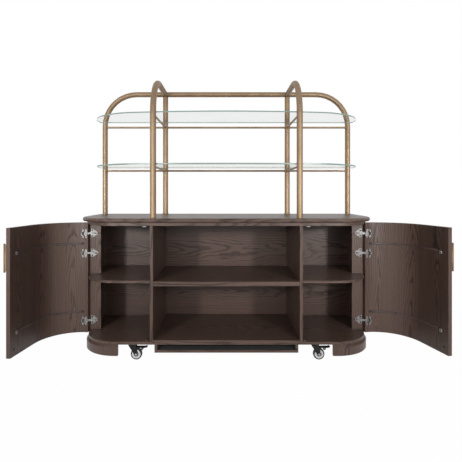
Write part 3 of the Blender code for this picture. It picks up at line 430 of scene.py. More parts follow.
def make_plastic(name, base, marked, roughness):
    """Moulded plastic, rubber or felt with a fine grain and faint marks."""
    tree, shader = new_material(name)
    marks = use_group(tree, "handling_marks", {"Vector": object_coords(tree)})
    tree.links.new(blend(tree, marks["Mask"], base, marked), shader.inputs["Base Color"])
    tree.links.new(times_plus(tree, marks["Grain"], 0.12, roughness), shader.inputs["Roughness"])
    add_bump(tree, shader, marks["Grain"], strength=0.1, distance=0.0002)


def make_glass_finish(name, tint, roughness, **constants):
    """Clear glass with faint wiping marks in its gloss."""
    tree, shader = new_material(name, **constants)
    marks = use_group(tree, "handling_marks", {"Vector": object_coords(tree)})
    smear_shade = 0.97
    duller = tuple(part * smear_shade for part in tint[:3]) + (1.0,)
    tree.links.new(blend(tree, marks["Smear"], tint, duller), shader.inputs["Base Color"])
    tree.links.new(times_plus(tree, marks["Smear"], 0.02, roughness), shader.inputs["Roughness"])


# Modelling helpers

def deselect():
    """Leave nothing selected."""
    for item in bpy.context.selected_objects:
        item.select_set(False)


def activate(item):
    """Leave one piece selected and active."""
    deselect()
    bpy.context.view_layer.objects.active = item
    item.select_set(True)


def settle():
    """Put the active object's place and size into its mesh and hand it over."""
    bpy.ops.object.transform_apply(location=True, rotation=True, scale=True)
    return bpy.context.object


def add_cylinder(radius, depth, sides, base=0.0):
    """Start a round piece standing on Z, with its lower end at the base height."""
    deselect()
    place = (0.0, 0.0, base + depth / 2)
    bpy.ops.mesh.primitive_cylinder_add(vertices=sides, radius=radius, depth=depth, location=place)
    return settle()


def add_block(size, centre):
    """Start a block of a size round a centre."""
    deselect()
    bpy.ops.mesh.primitive_cube_add(size=1.0, location=centre)
    bpy.context.object.scale = size
    return settle()


def edit(item):
    """Open a piece in edit mode with nothing selected and hand it over."""
    activate(item)
    bpy.ops.object.mode_set(mode="EDIT")
    bpy.ops.mesh.select_all(action="DESELECT")
    return item


def leave_edit(item, angle=35.0):
    """Close the edit, with faces outwards and round parts shaded smooth."""
    bpy.ops.mesh.select_all(action="SELECT")
    bpy.ops.mesh.normals_make_consistent(inside=False)
    bpy.ops.object.mode_set(mode="OBJECT")
    bpy.ops.object.shade_smooth_by_angle(angle=math.radians(angle))


def pick(item, kind, test):
    """Select the points, edges or faces of the edited piece that pass a test."""
    bpy.ops.mesh.select_mode(type=kind)
    bpy.ops.mesh.select_all(action="DESELECT")
    shape = bmesh.from_edit_mesh(item.data)
    for part in {"VERT": shape.verts, "EDGE": shape.edges, "FACE": shape.faces}[kind]:
        if test(part):
            part.select_set(True)
    shape.select_flush_mode()
    bmesh.update_edit_mesh(item.data)


def edge_at(place, axis=2):
    """A test for the edges that lie at a place along an axis, which is Z unless another is named."""
    return lambda edge: all(abs(vert.co[axis] - place) < NEAR for vert in edge.verts)


def level(edge):
    """True for an edge that runs level."""
    return abs(edge.verts[0].co.z - edge.verts[1].co.z) < NEAR


def outside(edge, radius):
    """True for an edge on the outer wall of a round piece that stands on Z."""
    return all(vert.co.xy.length > radius - NEAR for vert in edge.verts)


def ends(face):
    """True for the two flat ends of a piece that stands on Z."""
    return abs(face.normal.z) > ALONG


def faces_up(face):
    """True for a face that looks along Z."""
    return face.normal.z > ALONG


def central(face):
    """True for a face round the Z axis."""
    return face.calc_center_median().xy.length < NEAR


def round_edges(item, test, size, steps):
    """Bevel the edges of the edited piece that pass a test."""
    pick(item, "EDGE", test)
    bpy.ops.mesh.bevel(offset=size, segments=steps, affect="EDGES")


def inset(*steps):
    """Step the picked faces inwards, by one width and rise after another."""
    for width, rise in steps:
        bpy.ops.mesh.inset(thickness=width, depth=rise)


def extrude(run):
    """Draw the picked faces out along a run."""
    bpy.ops.mesh.extrude_region_move(TRANSFORM_OT_translate={"value": run})


def open_hole(item, wall):
    """Open a hole through a round piece and leave a wall of a thickness."""
    pick(item, "FACE", ends)
    inset((wall, 0.0))
    bpy.ops.mesh.delete(type="ONLY_FACE")
    pick(item, "EDGE", lambda edge: edge.is_boundary)
    bpy.ops.mesh.bridge_edge_loops()


def cut(item, cutter):
    """Take one piece away from another and drop the cutter."""
    activate(item)
    change = item.modifiers.new("cut", "BOOLEAN")
    change.operation = "DIFFERENCE"
    change.solver = "EXACT"
    change.object = cutter
    bpy.ops.object.modifier_apply(modifier=change.name)
    bpy.data.objects.remove(cutter)


def paint(item, finish, test=None):
    """Give a piece a finish, or only those of its faces that pass a test."""
    item.data.materials.append(bpy.data.materials[finish])
    index = len(item.data.materials) - 1
    for face in item.data.polygons:
        if test is None or test(face):
            face.material_index = index


def stand(pattern, name, places, body):
    """Set copies of a pattern at their places, join them into one piece and let it ride on a body."""
    copies = []
    for place in places:
        mesh = pattern.data.copy()
        mesh.transform(place)
        if place.is_negative:
            mesh.flip_normals()
        copies.append(bpy.data.objects.new(name, mesh))
        bpy.context.scene.collection.objects.link(copies[-1])
    activate(copies[0])
    for item in copies:
        item.select_set(True)
    if len(copies) > 1:
        bpy.ops.object.join()
    piece = bpy.context.view_layer.objects.active
    piece.name = name
    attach(piece, body)
    return piece


def discard(*patterns):
    """Drop patterns whose copies stand in place."""
    for pattern in patterns:
        bpy.data.objects.remove(pattern)


def model_screw(radius, height, finish):
    """A raised screw head with a cross recess, standing on Z."""
    slot_length = radius * 1.15
    slot_width = radius * 0.26
    screw = edit(add_cylinder(radius, height, sides=24))
    round_edges(screw, edge_at(height), size=height * 0.7, steps=3)
    leave_edit(screw)
    for size in ((slot_length, slot_width, height), (slot_width, slot_length, height)):
        cut(screw, add_block(size, (0.0, 0.0, height)))
    paint(screw, finish)
    # The floor of the cross recess is painted dark, a painted shade.
    paint(screw, "dark_screw_and_recess_shade", lambda face: abs(face.center.z - height / 2) < height * 0.05)
    return screw


# Places

def facing(point, direction):
    """The place of a pattern whose Z looks along a direction from a point."""
    return Matrix.Translation(point) @ Vector(direction).to_track_quat("Z", "Y").to_matrix().to_4x4()


def opened(side):
    """Carries a point of the closed door to where it lies with the door open at rest."""
    joint = JOINTS[side + "_door"]
    pivot = Vector(joint["pos_m"])
    turn = Matrix.Rotation(-math.radians(joint["range_deg"][1]), 4, Vector(joint["axis"]))
    return Matrix.Translation(pivot) @ turn @ Matrix.Translation(-pivot)


def side_x(side, offset):
    """A distance from the middle of the cabinet, on one side."""
    return MIDDLE_X + SIDES[side] * offset


def arc_centre(side, height):
    """A point on the axis of a closed door's bend."""
    return Vector((side_x(side, ARC_CENTRE_X), ARC_CENTRE_Y, height))


def bend_spot(side, turn, height):
    """The place of a pattern on the inner face of a door's bend, facing the axis of the bend."""
    inwards = Vector((-SIDES[side] * math.cos(turn), math.sin(turn), 0.0))
    return opened(side) @ facing(arc_centre(side, height) - inwards * DOOR_INNER_RADIUS, inwards)


def flat_spot(side, offset, height):
    """The place of a pattern on the flat part of a door's inner face."""
    return opened(side) @ facing(Vector((side_x(side, offset), DOOR_INNER_Y, height)), BACKWARDS)


def centre_of(node):
    """Middle of a node's box."""
    lower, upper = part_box(node)
    return (lower + upper) / 2


# Operators

class CABINET_OT_finishes(bpy.types.Operator):
    """Give every node of the frame its finish"""

    bl_idname = "cabinet.finishes"
    bl_label = "Finishes"

    def execute(self, context):
        make_oak_group()
        make_metal_group()
        make_edge_group()
        make_dust_group()
        self.mix_oak(context.scene.cabinet_oak)
        self.mix_metals(context.scene.cabinet_metal)
        self.mix_plastics()
        make_glass_finish(
            "clear_glass", (0.852, 0.862, 0.857, 1.0), 0.01, transmission_weight=1.0, ior=1.01)
        make_glass_finish(
            "green_edge_glass", (0.24, 0.36, 0.31, 1.0), 0.30, transmission_weight=0.35, ior=1.46)
        for name, item in frame["nodes"].items():
            kind = next((finish for word, finish in NODE_FINISHES.items() if word in name), "oak_lying")
            finish = bpy.data.materials.get("oak_" + name) or bpy.data.materials[kind]
            item.data.materials.clear()
            item.data.materials.append(finish)
        return {"FINISHED"}

    def mix_oak(self, oak):
        """Oak for flat boards, and for each curved door and skirt its own."""
        for name, order in BOARD_GRAIN.items():
            make_oak("oak_" + name, oak, board_grain, order)
        for side in SIDES:
            make_oak("oak_" + side + "_door", oak, door_grain, side, oak)
            make_oak("oak_" + side + "_skirt", oak, skirt_grain, side, oak)

    def mix_metals(self, metal):
        """Bronze, nickel, steel, zinc and enamel."""
        make_metal("brushed_bronze", metal.bronze, metal.bronze_dark, metallic=0.72, roughness=0.36)
        # The near-white edges of the hinge plates are a painted highlight that outlines them.
        make_metal(
            "plated_nickel", metal.nickel, (0.15, 0.145, 0.141, 1.0), metallic=0.75, roughness=0.42,
            edge=(0.92, 0.91, 0.90, 1.0), edge_wear_highlight_share=0.9)
        make_metal(
            "black_enamel", metal.enamel, (0.012, 0.012, 0.013, 1.0), metallic=0.0, roughness=0.42,
            edge=(0.05, 0.05, 0.05, 1.0), specular_ior_level=0.22)
        # Near-black steel for the straightener bars, a painted shade for the grooves beside the cover strips.
        make_metal("groove_shade_steel", (0.022, 0.017, 0.015, 1.0), (0.036, 0.028, 0.025, 1.0), 0.3, 0.45)
        make_metal("brown_steel", (0.078, 0.052, 0.043, 1.0), (0.058, 0.038, 0.031, 1.0), 0.0, 0.42)
        make_metal("zinc_plate", (0.52, 0.51, 0.50, 1.0), (0.36, 0.35, 0.35, 1.0), 0.8, 0.36)
        # Dark screw metal, also used as painted shade in recesses and holes.
        make_metal("dark_screw_and_recess_shade", (0.014, 0.012, 0.011, 1.0), (0.026, 0.023, 0.021, 1.0), 0.3, 0.45)

    def mix_plastics(self):
        """Felt, rubber and nylon."""
        make_plastic("black_felt", (0.0110, 0.0112, 0.0108, 1.0), (0.0210, 0.0212, 0.0205, 1.0), 0.85)
        make_plastic("tyre_rubber", (0.012, 0.012, 0.012, 1.0), (0.045, 0.043, 0.040, 1.0), 0.55)
        make_plastic("rim_nylon", (0.66, 0.65, 0.65, 1.0), (0.55, 0.54, 0.53, 1.0), 0.35)
        make_plastic("grey_nylon", (0.16, 0.155, 0.15, 1.0), (0.10, 0.10, 0.10, 1.0), 0.40)
        make_plastic("block_nylon", (0.33, 0.31, 0.30, 1.0), (0.24, 0.225, 0.215, 1.0), 0.42)
        make_plastic("brown_nylon", (0.17, 0.120, 0.095, 1.0), (0.12, 0.085, 0.068, 1.0), 0.42)
        make_plastic("white_nylon", (0.56, 0.55, 0.54, 1.0), (0.46, 0.45, 0.43, 1.0), 0.38)


class CABINET_OT_glass(bpy.types.Operator):
    """Glass shelves with a bowed front, round front corners and a polished green edge"""

    bl_idname = "cabinet.glass"
    bl_label = "Glass shelves"

    def execute(self, context):
        for name in LEVELS:
            node = name + "_glass_shelf"
            pane = self.model_pane(*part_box(node))
            pane.name = name + "_glass_pane"
            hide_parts(node)
            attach(pane, "cabinet")
        return {"FINISHED"}

    def model_pane(self, lower, upper):
        """A pane within a node's box, its front drawn forwards in a bow."""
        corner_radius = 0.250
        arris = 0.0009
        setback = 0.029
        bow = 0.056
        bow_reach = 0.63
        front_cuts = 23
        long_edge = 0.2
        front = lower.y + setback
        middle = (lower.x + upper.x) / 2
        start = Vector((lower.x, front, lower.z))
        at_front = edge_at(front, axis=1)
        pane = edit(add_block(upper - start, (start + upper) / 2))
        round_edges(pane, lambda edge: at_front(edge) and not level(edge), size=corner_radius, steps=28)
        pick(pane, "EDGE", lambda edge: at_front(edge) and edge.calc_length() > long_edge)
        bpy.ops.mesh.subdivide(number_cuts=front_cuts)
        pick(pane, "VERT", lambda vert: (vert.co.xy - Vector((middle, front))).length < NEAR)
        bpy.ops.transform.translate(
            value=FORWARDS * bow, use_proportional_edit=True,
            proportional_edit_falloff="INVERSE_SQUARE", proportional_size=bow_reach)
        round_edges(pane, level, size=arris, steps=2)
        leave_edit(pane, angle=15.0)
        paint(pane, "clear_glass")
        paint(pane, "green_edge_glass", lambda face: abs(face.normal.z) < 0.2)
        return pane


class CABINET_OT_wheels(bpy.types.Operator):
    """Caster wheels with a rounded tyre, a dished rim and a hub"""

    bl_idname = "cabinet.wheels"
    bl_label = "Wheels"

    def execute(self, context):
        wheel = self.model_wheel(*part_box("left_front_caster_wheel"))
        for side in SIDES:
            for row in ROWS:
                corner = side + "_" + row
                node = corner + "_caster_wheel"
                place = facing(centre_of(node), FORWARDS)
                piece = stand(wheel, corner + "_wheel_tyre", [place], corner + "_wheel")
                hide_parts(node)
        discard(wheel)
        return {"FINISHED"}

    def model_wheel(self, lower, upper):
        """A wheel lying flat, as large as a node's box; each step of a face is a width and a rise."""
        radius = (upper.z - lower.z) / 2
        width = upper.y - lower.y
        tyre_wall = 0.0068
        tyre_round = 0.0042
        hub_radius = 0.0085
        rim_steps = ((0.0007, -0.0010), (0.0025, -0.0006))
        hub_steps = ((0.0006, 0.0022), (0.0030, 0.0003), (0.0006, -0.0008))
        web_depth = 0.0016
        web_width = radius - tyre_wall - sum(step[0] for step in rim_steps) - hub_radius
        wheel = edit(add_cylinder(radius, width, sides=56, base=-width / 2))
        round_edges(wheel, level, size=tyre_round, steps=4)
        pick(wheel, "FACE", lambda face: ends(face) and central(face))
        inset((tyre_wall - tyre_round, 0.0), *rim_steps, (web_width, -web_depth), *hub_steps)
        leave_edit(wheel)
        paint(wheel, "tyre_rubber")
        paint(wheel, "rim_nylon", lambda face: face.center.xy.length < radius - tyre_wall)
        paint(wheel, "grey_nylon", lambda face: face.center.xy.length < hub_radius)
        return wheel


class CABINET_OT_casters(bpy.types.Operator):
    """Axle bolts, swivel rings, pedal bosses and plate screws of the casters"""

    bl_idname = "cabinet.casters"
    bl_label = "Caster fittings"

    def execute(self, context):
        fittings = context.scene.cabinet_fittings
        bolt = self.model_bolt()
        ring = self.model_ring()
        boss = self.model_boss()
        screw = model_screw(fittings.screw_radius, fittings.screw_height, "zinc_plate")
        boss_reach = 0.042
        boss_drop = 0.0060
        plates = {"front": "_front_caster_plate", "rear": "_rear_caster_bracket"}
        for side in SIDES:
            fork = side + "_front_fork"
            for row, body in zip(ROWS, (fork, "cabinet")):
                corner = side + "_" + row
                places = self.bolt_places(centre_of(corner + "_caster_wheel"))
                stand(bolt, corner + "_axle_bolt", places, body)
                places = self.screw_places(*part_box(side + plates[row]))
                stand(screw, corner + "_plate_screws", places, "cabinet")
            swivel = Vector(JOINTS[fork]["pos_m"])
            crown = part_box(side + "_front_caster_fork")[1].z
            place = Matrix.Translation((swivel.x, swivel.y, crown))
            stand(ring, side + "_swivel_ring", [place], fork)
            lower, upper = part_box(side + "_front_caster_pedal")
            point = Vector((lower.x + boss_reach, (lower.y + upper.y) / 2, lower.z - boss_drop))
            place = facing(point, FORWARDS)
            stand(boss, side + "_pedal_boss", [place], side + "_front_pedal")
        discard(bolt, ring, boss, screw)
        return {"FINISHED"}

    def bolt_places(self, axle):
        """Both ends of an axle, outside the fork."""
        fork_half_width = 0.0145
        return [facing(axle + way * fork_half_width, way) for way in (FORWARDS, BACKWARDS)]

    def screw_places(self, lower, upper):
        """The four corners under a plate."""
        inset_width = 0.008
        plate_thickness = 0.003
        corners = [Vector((x, y, upper.z - plate_thickness))
                   for x in (lower.x + inset_width, upper.x - inset_width)
                   for y in (lower.y + inset_width, upper.y - inset_width)]
        return [facing(corner, DOWN) for corner in corners]

    def model_bolt(self):
        """A black washer with a domed zinc bolt head."""
        washer_radius = 0.0105
        washer_height = 0.0009
        head_radius = 0.0056
        head_height = 0.0020
        bolt = edit(add_cylinder(washer_radius, washer_height, sides=32))
        pick(bolt, "FACE", faces_up)
        inset((washer_radius - head_radius, 0.0))
        extrude((0.0, 0.0, head_height))
        round_edges(bolt, edge_at(washer_height + head_height), size=0.0012, steps=3)
        leave_edit(bolt)
        paint(bolt, "black_enamel")
        paint(bolt, "zinc_plate", lambda face: face.center.z > washer_height + NEAR)
        return bolt

    def model_ring(self):
        """The race between fork and plate, its top just under zero."""
        radius = 0.0215
        bore_radius = 0.0173
        height = 0.0085
        drop = 0.0092
        ring = edit(add_cylinder(radius, height, sides=48, base=-drop))
        open_hole(ring, radius - bore_radius)
        round_edges(ring, lambda edge: outside(edge, radius) and level(edge), size=0.0022, steps=4)
        leave_edit(ring)
        paint(ring, "black_enamel")
        return ring

    def model_boss(self):
        """The round brake block under a pedal, lying on its axis."""
        length = 0.016
        radius = 0.0072
        pin_radius = 0.0030
        collar_steps = ((0.0016, 0.0), (0.0005, -0.0008))
        pin_step = (0.0004, 0.0006)
        floor_width = radius - sum(step[0] for step in collar_steps) - pin_radius
        boss = edit(add_cylinder(radius, length, sides=32, base=-length / 2))
        pick(boss, "FACE", ends)
        inset(*collar_steps, (floor_width, 0.0), pin_step)
        round_edges(boss, lambda edge: outside(edge, radius) and level(edge), size=0.0007, steps=2)
        leave_edit(boss)
        paint(boss, "black_enamel")
        paint(boss, "zinc_plate", lambda face: face.center.xy.length < pin_radius)
        return boss


class CABINET_OT_hinges(bpy.types.Operator):
    """Screws and adjusters of the hinge plates and cups"""

    bl_idname = "cabinet.hinges"
    bl_label = "Hinge fittings"

    def execute(self, context):
        fittings = context.scene.cabinet_fittings
        screw = model_screw(fittings.screw_radius * 1.4, fittings.screw_height, "dark_screw_and_recess_shade")
        adjuster = model_screw(radius=0.0036, height=0.0012, finish="dark_screw_and_recess_shade")
        plate_thickness = 0.0022
        plate_screw_rise = 0.0155
        plate_screw_inset = 0.0300
        adjuster_inset = 0.0105
        adjuster_rise = 0.0066
        adjuster_slant = 0.25
        adjuster_front = -0.97
        cup_reach = 0.0180
        cup_turn = math.asin(cup_reach / DOOR_INNER_RADIUS)
        for side, sign in SIDES.items():
            for hinge_level in HINGE_LEVELS:
                hinge = side + "_" + hinge_level + "_hinge"
                arm = hinge + "_arm"
                lower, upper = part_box(arm)
                height = (lower.z + upper.z) / 2
                plate_y = upper.y - plate_thickness
                inner_x = upper.x if sign < 0 else lower.x
                screw_x = inner_x + sign * plate_screw_inset
                places = [facing((screw_x, plate_y, height + rise), FORWARDS)
                          for rise in (-plate_screw_rise, plate_screw_rise)]
                stand(screw, arm + "_screws", places, "cabinet")
                point = (inner_x + sign * adjuster_inset, plate_y - adjuster_rise, height)
                place = facing(point, (sign * adjuster_slant, adjuster_front, 0.0))
                stand(adjuster, arm + "_adjuster", [place], "cabinet")
                places = self.cup_places(bend_spot(side, cup_turn, height))
                stand(screw, hinge + "_cup_screws", places, side + "_door")
        discard(screw, adjuster)
        return {"FINISHED"}

    def cup_places(self, spot):
        """Places above and below the middle of a cup, on the face of its flange."""
        screw_rise = 0.0196
        flange_height = 0.00217
        up = spot.to_3x3().inverted() @ Vector((0.0, 0.0, screw_rise))
        out = Vector((0.0, 0.0, flange_height))
        return [spot @ Matrix.Translation(offset) for offset in (out + up, out - up)]


class CABINET_OT_straighteners(bpy.types.Operator):
    """Cover strips, adjuster blocks and strike plates on the inner faces of the doors"""

    bl_idname = "cabinet.straighteners"
    bl_label = "Door straighteners"

    def execute(self, context):
        fittings = context.scene.cabinet_fittings
        thickness = 0.0011
        joint_turn = math.radians(51)
        cover_start = math.radians(11)
        hole_shade_turn = math.radians(8.4)
        screw_inset = math.radians(3)
        tail_run = 0.128
        block_offset = 0.433
        block_drop = 0.007
        strike_offset = 0.413
        strike_rise = 0.0225
        pin_offset = 0.420
        pin_rise = 0.0150
        screw = model_screw(fittings.screw_radius, fittings.screw_height * 0.6, "dark_screw_and_recess_shade")
        cover = self.model_strip(joint_turn - cover_start, 0.0, half_width=0.0034, thickness=thickness)
        tail = self.model_strip(math.pi / 2 - joint_turn, tail_run, half_width=0.0052, thickness=thickness)
        dark_disc = self.model_plug(radius=0.0074)
        strike = self.model_plug(radius=0.0055)
        pin = model_screw(radius=0.0026, height=0.0022, finish="block_nylon")
        block = self.model_block(fittings.block_size)
        lift = Matrix.Translation((0.0, 0.0, thickness))
        bottom_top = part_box("left_bottom")[1].z
        for side, sign in SIDES.items():
            door = side + "_door"
            mirror = Matrix.Diagonal((sign, 1.0, 1.0, 1.0))
            for name in LEVELS:
                node = side + "_" + name + "_straightener"
                height = centre_of(node).z
                axis = opened(side) @ Matrix.Translation(arc_centre(side, height)) @ mirror
                for strip, word, turn in ((cover, "_cover", cover_start), (tail, "_tail", joint_turn)):
                    place = axis @ Matrix.Rotation(-turn, 4, "Z")
                    stand(strip, node + word, [place], door)
                # A dark disc at the hinge end stands for the hole there, a painted shade.
                stand(dark_disc, node + "_plug", [bend_spot(side, hole_shade_turn, height)], door)
                turns = (cover_start + screw_inset, joint_turn - screw_inset)
                places = [bend_spot(side, turn, height) @ lift for turn in turns]
                stand(screw, node + "_screws", places, door)
                place = flat_spot(side, block_offset, height - block_drop)
                stand(block, node + "_adjuster", [place], door)
            place = flat_spot(side, strike_offset, bottom_top + strike_rise)
            stand(strike, side + "_strike_plate", [place], door)
            place = flat_spot(side, pin_offset, bottom_top + pin_rise)
            stand(pin, side + "_strike_pin", [place], door)
        discard(screw, cover, tail, dark_disc, block, strike, pin)
        return {"FINISHED"}

    def model_strip(self, turn, straight, half_width, thickness):
        """A thin strip bent to the door and then run on straight, spun about the axis of the bend."""
        sharp = 1.0
        middle = (DOOR_INNER_RADIUS - thickness / 2, 0.0, 0.0)
        deselect()
        bpy.ops.mesh.primitive_plane_add(size=1.0, location=middle, rotation=(math.pi / 2, 0.0, 0.0))
        bpy.context.object.scale = (thickness, 2 * half_width, 1.0)
        strip = edit(settle())
        bpy.ops.mesh.select_all(action="SELECT")
        bpy.ops.mesh.spin(steps=22, angle=turn, center=(0.0, 0.0, 0.0), axis=(0.0, 0.0, 1.0))
        if straight:
            extrude(Vector((-math.sin(turn), -math.cos(turn), 0.0)) * straight)
        if max(vert.co.y for vert in bmesh.from_edit_mesh(strip.data).verts) > NEAR:
            raise RuntimeError("the strip was spun the wrong way")
        bpy.ops.mesh.select_all(action="SELECT")
        bpy.ops.mesh.remove_doubles(threshold=NEAR)
        bpy.ops.mesh.normals_make_consistent(inside=False)
        round_edges(
            strip, lambda edge: len(edge.link_faces) == 2 and edge.calc_face_angle() > sharp,
            size=0.0003, steps=2)
        leave_edit(strip)
        paint(strip, "brown_steel")
        return strip

    def model_plug(self, radius):
        """A dished disc painted dark: at the hinge end of a straightener it is a painted shade for the hole
        there, and it also marks the strike of a catch.
        """
        height = 0.0012
        dark_disc = edit(add_cylinder(radius, height, sides=32))
        round_edges(dark_disc, edge_at(height), size=0.0006, steps=2)
        pick(dark_disc, "FACE", lambda face: faces_up(face) and central(face))
        inset((0.0008, 0.0), (0.0012, -0.0007))
        leave_edit(dark_disc)
        paint(dark_disc, "dark_screw_and_recess_shade")
        return dark_disc

    def model_block(self, size):
        """A square block with a sunk adjuster hole."""
        height = 0.0026
        hole_radius = size * 0.26
        hole_floor = height * 0.45
        block = edit(add_block((size, size, height), (0.0, 0.0, height / 2)))
        round_edges(block, lambda edge: not level(edge), size=size * 0.18, steps=4)
        round_edges(block, edge_at(height), size=0.0006, steps=2)
        leave_edit(block)
        cut(block, add_cylinder(hole_radius, height, sides=24, base=hole_floor))
        paint(block, "block_nylon")
        # The sunk hole is painted dark, a painted shade.
        paint(block, "dark_screw_and_recess_shade", lambda face: face.center.xy.length < size * 0.27
              and height * 0.2 < face.center.z < height * 0.98)
        return block


class CABINET_OT_catches(bpy.types.Operator):
    """Door catches under the sub-top and stops on the bottom panels"""

    bl_idname = "cabinet.catches"
    bl_label = "Catches and stops"

    def execute(self, context):
        fittings = context.scene.cabinet_fittings
        catch = self.model_catch(fittings)
        stop = self.model_stop()
        catch_setback = 0.010
        stop_setback = 0.0115
        catch_y = CORE_FRONT_Y + catch_setback
        stop_y = CORE_FRONT_Y + stop_setback
        stop_offsets = {"left": 0.418, "right": 0.409}
        for side in SIDES:
            place = Matrix.Translation((side_x(side, fittings.catch_offset), catch_y, SUB_TOP_LOW.z))
            stand(catch, side + "_door_catch", [place], "cabinet")
            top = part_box(side + "_bottom")[1].z
            place = Matrix.Translation((side_x(side, stop_offsets[side]), stop_y, top))
            stand(stop, side + "_door_stop", [place], "cabinet")
        discard(catch, stop)
        return {"FINISHED"}

    def model_catch(self, fittings):
        """A white housing that hangs down from its fixing face, with a plunger at the front."""
        size = Vector((fittings.catch_width, fittings.catch_length, fittings.catch_height))
        plunger_reach = 0.0032
        straight_ahead = 0.95
        lowest = edge_at(-size.z)
        body = edit(add_block(size, (0.0, size.y / 2, -size.z / 2)))
        round_edges(body, lambda edge: lowest(edge) or not level(edge), size=0.0016, steps=3)
        pick(body, "FACE", lambda face: face.normal.y < -straight_ahead)
        inset((0.0018, 0.0), (0.0004, -0.0012), (0.0012, 0.0))
        extrude(FORWARDS * plunger_reach)
        leave_edit(body)
        paint(body, "white_nylon")
        return body

    def model_stop(self):
        """A small domed buffer."""
        radius = 0.0052
        height = 0.0038
        stop = edit(add_cylinder(radius, height, sides=28))
        round_edges(stop, edge_at(height), size=0.0026, steps=5)
        leave_edit(stop)
        paint(stop, "brown_nylon")
        return stop


class CABINET_OT_welds(bpy.types.Operator):
    """Weld beads where the rods of the rack meet its tubes, and collars round the inner rear posts"""

    bl_idname = "cabinet.welds"
    bl_label = "Rack fittings"

    def execute(self, context):
        tube_radius = 0.016
        bead = self.model_bead(context.scene.cabinet_fittings.weld_radius)
        flange = self.model_flange(tube_radius)
        rods = [name + "_rear_rod" for name in LEVELS]
        rear_y = centre_of(rods[0]).y
        for rod in rods:
            lower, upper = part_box(rod)
            height = (lower.z + upper.z) / 2
            places = []
            for side, sign in SIDES.items():
                post_x = centre_of(side + "_rear_post").x
                outer_x = upper.x if sign > 0 else lower.x
                places.append(facing((outer_x, rear_y, height), (-sign, 0.0, 0.0)))
                for way in (-1, 1):
                    places.append(facing((post_x + way * tube_radius, rear_y, height), (way, 0.0, 0.0)))
            stand(bead, rod + "_welds", places, "cabinet")
        for side in SIDES:
            hoop_x = centre_of(side + "_hoop").x
            front_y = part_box(side + "_hoop")[0].y + 2 * tube_radius
            places = []
            for rod in rods:
                height = centre_of(rod).z
                places.append(facing((hoop_x, front_y, height), BACKWARDS))
                places.append(facing((hoop_x, rear_y - tube_radius, height), FORWARDS))
            stand(bead, side + "_hoop_welds", places, "cabinet")
            foot = centre_of(side + "_rear_post")
            foot.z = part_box(side + "_rear_post")[0].z
            stand(flange, side + "_rear_post_flange", [Matrix.Translation(foot)], "cabinet")
        discard(bead, flange)
        return {"FINISHED"}

    def model_bead(self, radius):
        """A low fillet that grows from the tube onto the rod."""
        sink = 0.0018
        height = 0.0040
        bead = edit(add_cylinder(radius, height, sides=24, base=-sink))
        round_edges(bead, edge_at(height - sink), size=0.0020, steps=4)
        leave_edit(bead)
        paint(bead, "brushed_bronze")
        return bead

    def model_flange(self, tube_radius):
        """A thin collar round the foot of a post."""
        radius = 0.022
        height = 0.0026
        at_top = edge_at(height)
        flange = edit(add_cylinder(radius, height, sides=48))
        open_hole(flange, radius - tube_radius)
        round_edges(flange, lambda edge: outside(edge, radius) and at_top(edge), size=0.0016, steps=3)
        leave_edit(flange)
        paint(flange, "brushed_bronze")
        return flange


class CABINET_OT_back(bpy.types.Operator):
    """Screws that hold the back panel"""

    bl_idname = "cabinet.back"
    bl_label = "Back screws"

    def execute(self, context):
        fittings = context.scene.cabinet_fittings
        screw = model_screw(fittings.screw_radius, fittings.screw_height * 0.5, "dark_screw_and_recess_shade")
        edge_distance = 0.009
        columns = 9
        lower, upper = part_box("back_panel")
        rows = (lower.z + edge_distance, centre_of("centre_shelf").z, upper.z - edge_distance)
        step = (upper.x - lower.x - 2 * edge_distance) / (columns - 1)
        places = [facing((lower.x + edge_distance + step * column, upper.y, row), BACKWARDS)
                  for row in rows for column in range(columns)]
        stand(screw, "back_panel_screws", places, "cabinet")
        discard(screw)
        return {"FINISHED"}


class CABINET_OT_lining(bpy.types.Operator):
    """Black felt that lines the plinth tray"""

    bl_idname = "cabinet.lining"
    bl_label = "Tray lining"

    def execute(self, context):
        side_thickness = 0.014
        bottom_thickness = 0.013
        felt = 0.0012
        front_inset = 0.006
        lower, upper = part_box("plinth_tray")
        low = lower + Vector((side_thickness, front_inset, bottom_thickness))
        high = upper - Vector((side_thickness, side_thickness, 0.0))
        lining = edit(add_block(high - low, (low + high) / 2))
        pick(lining, "FACE", lambda face: face.normal.y < -ALONG or faces_up(face))
        bpy.ops.mesh.delete(type="FACE")
        round_edges(lining, lambda edge: len(edge.link_faces) == 2, size=0.004, steps=4)
        leave_edit(lining)
        wall = lining.modifiers.new("wall", "SOLIDIFY")
        wall.thickness = felt
        bpy.ops.object.modifier_apply(modifier=wall.name)
        paint(lining, "black_felt")
        lining.name = "plinth_tray_lining"
        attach(lining, "cabinet")
        return {"FINISHED"}


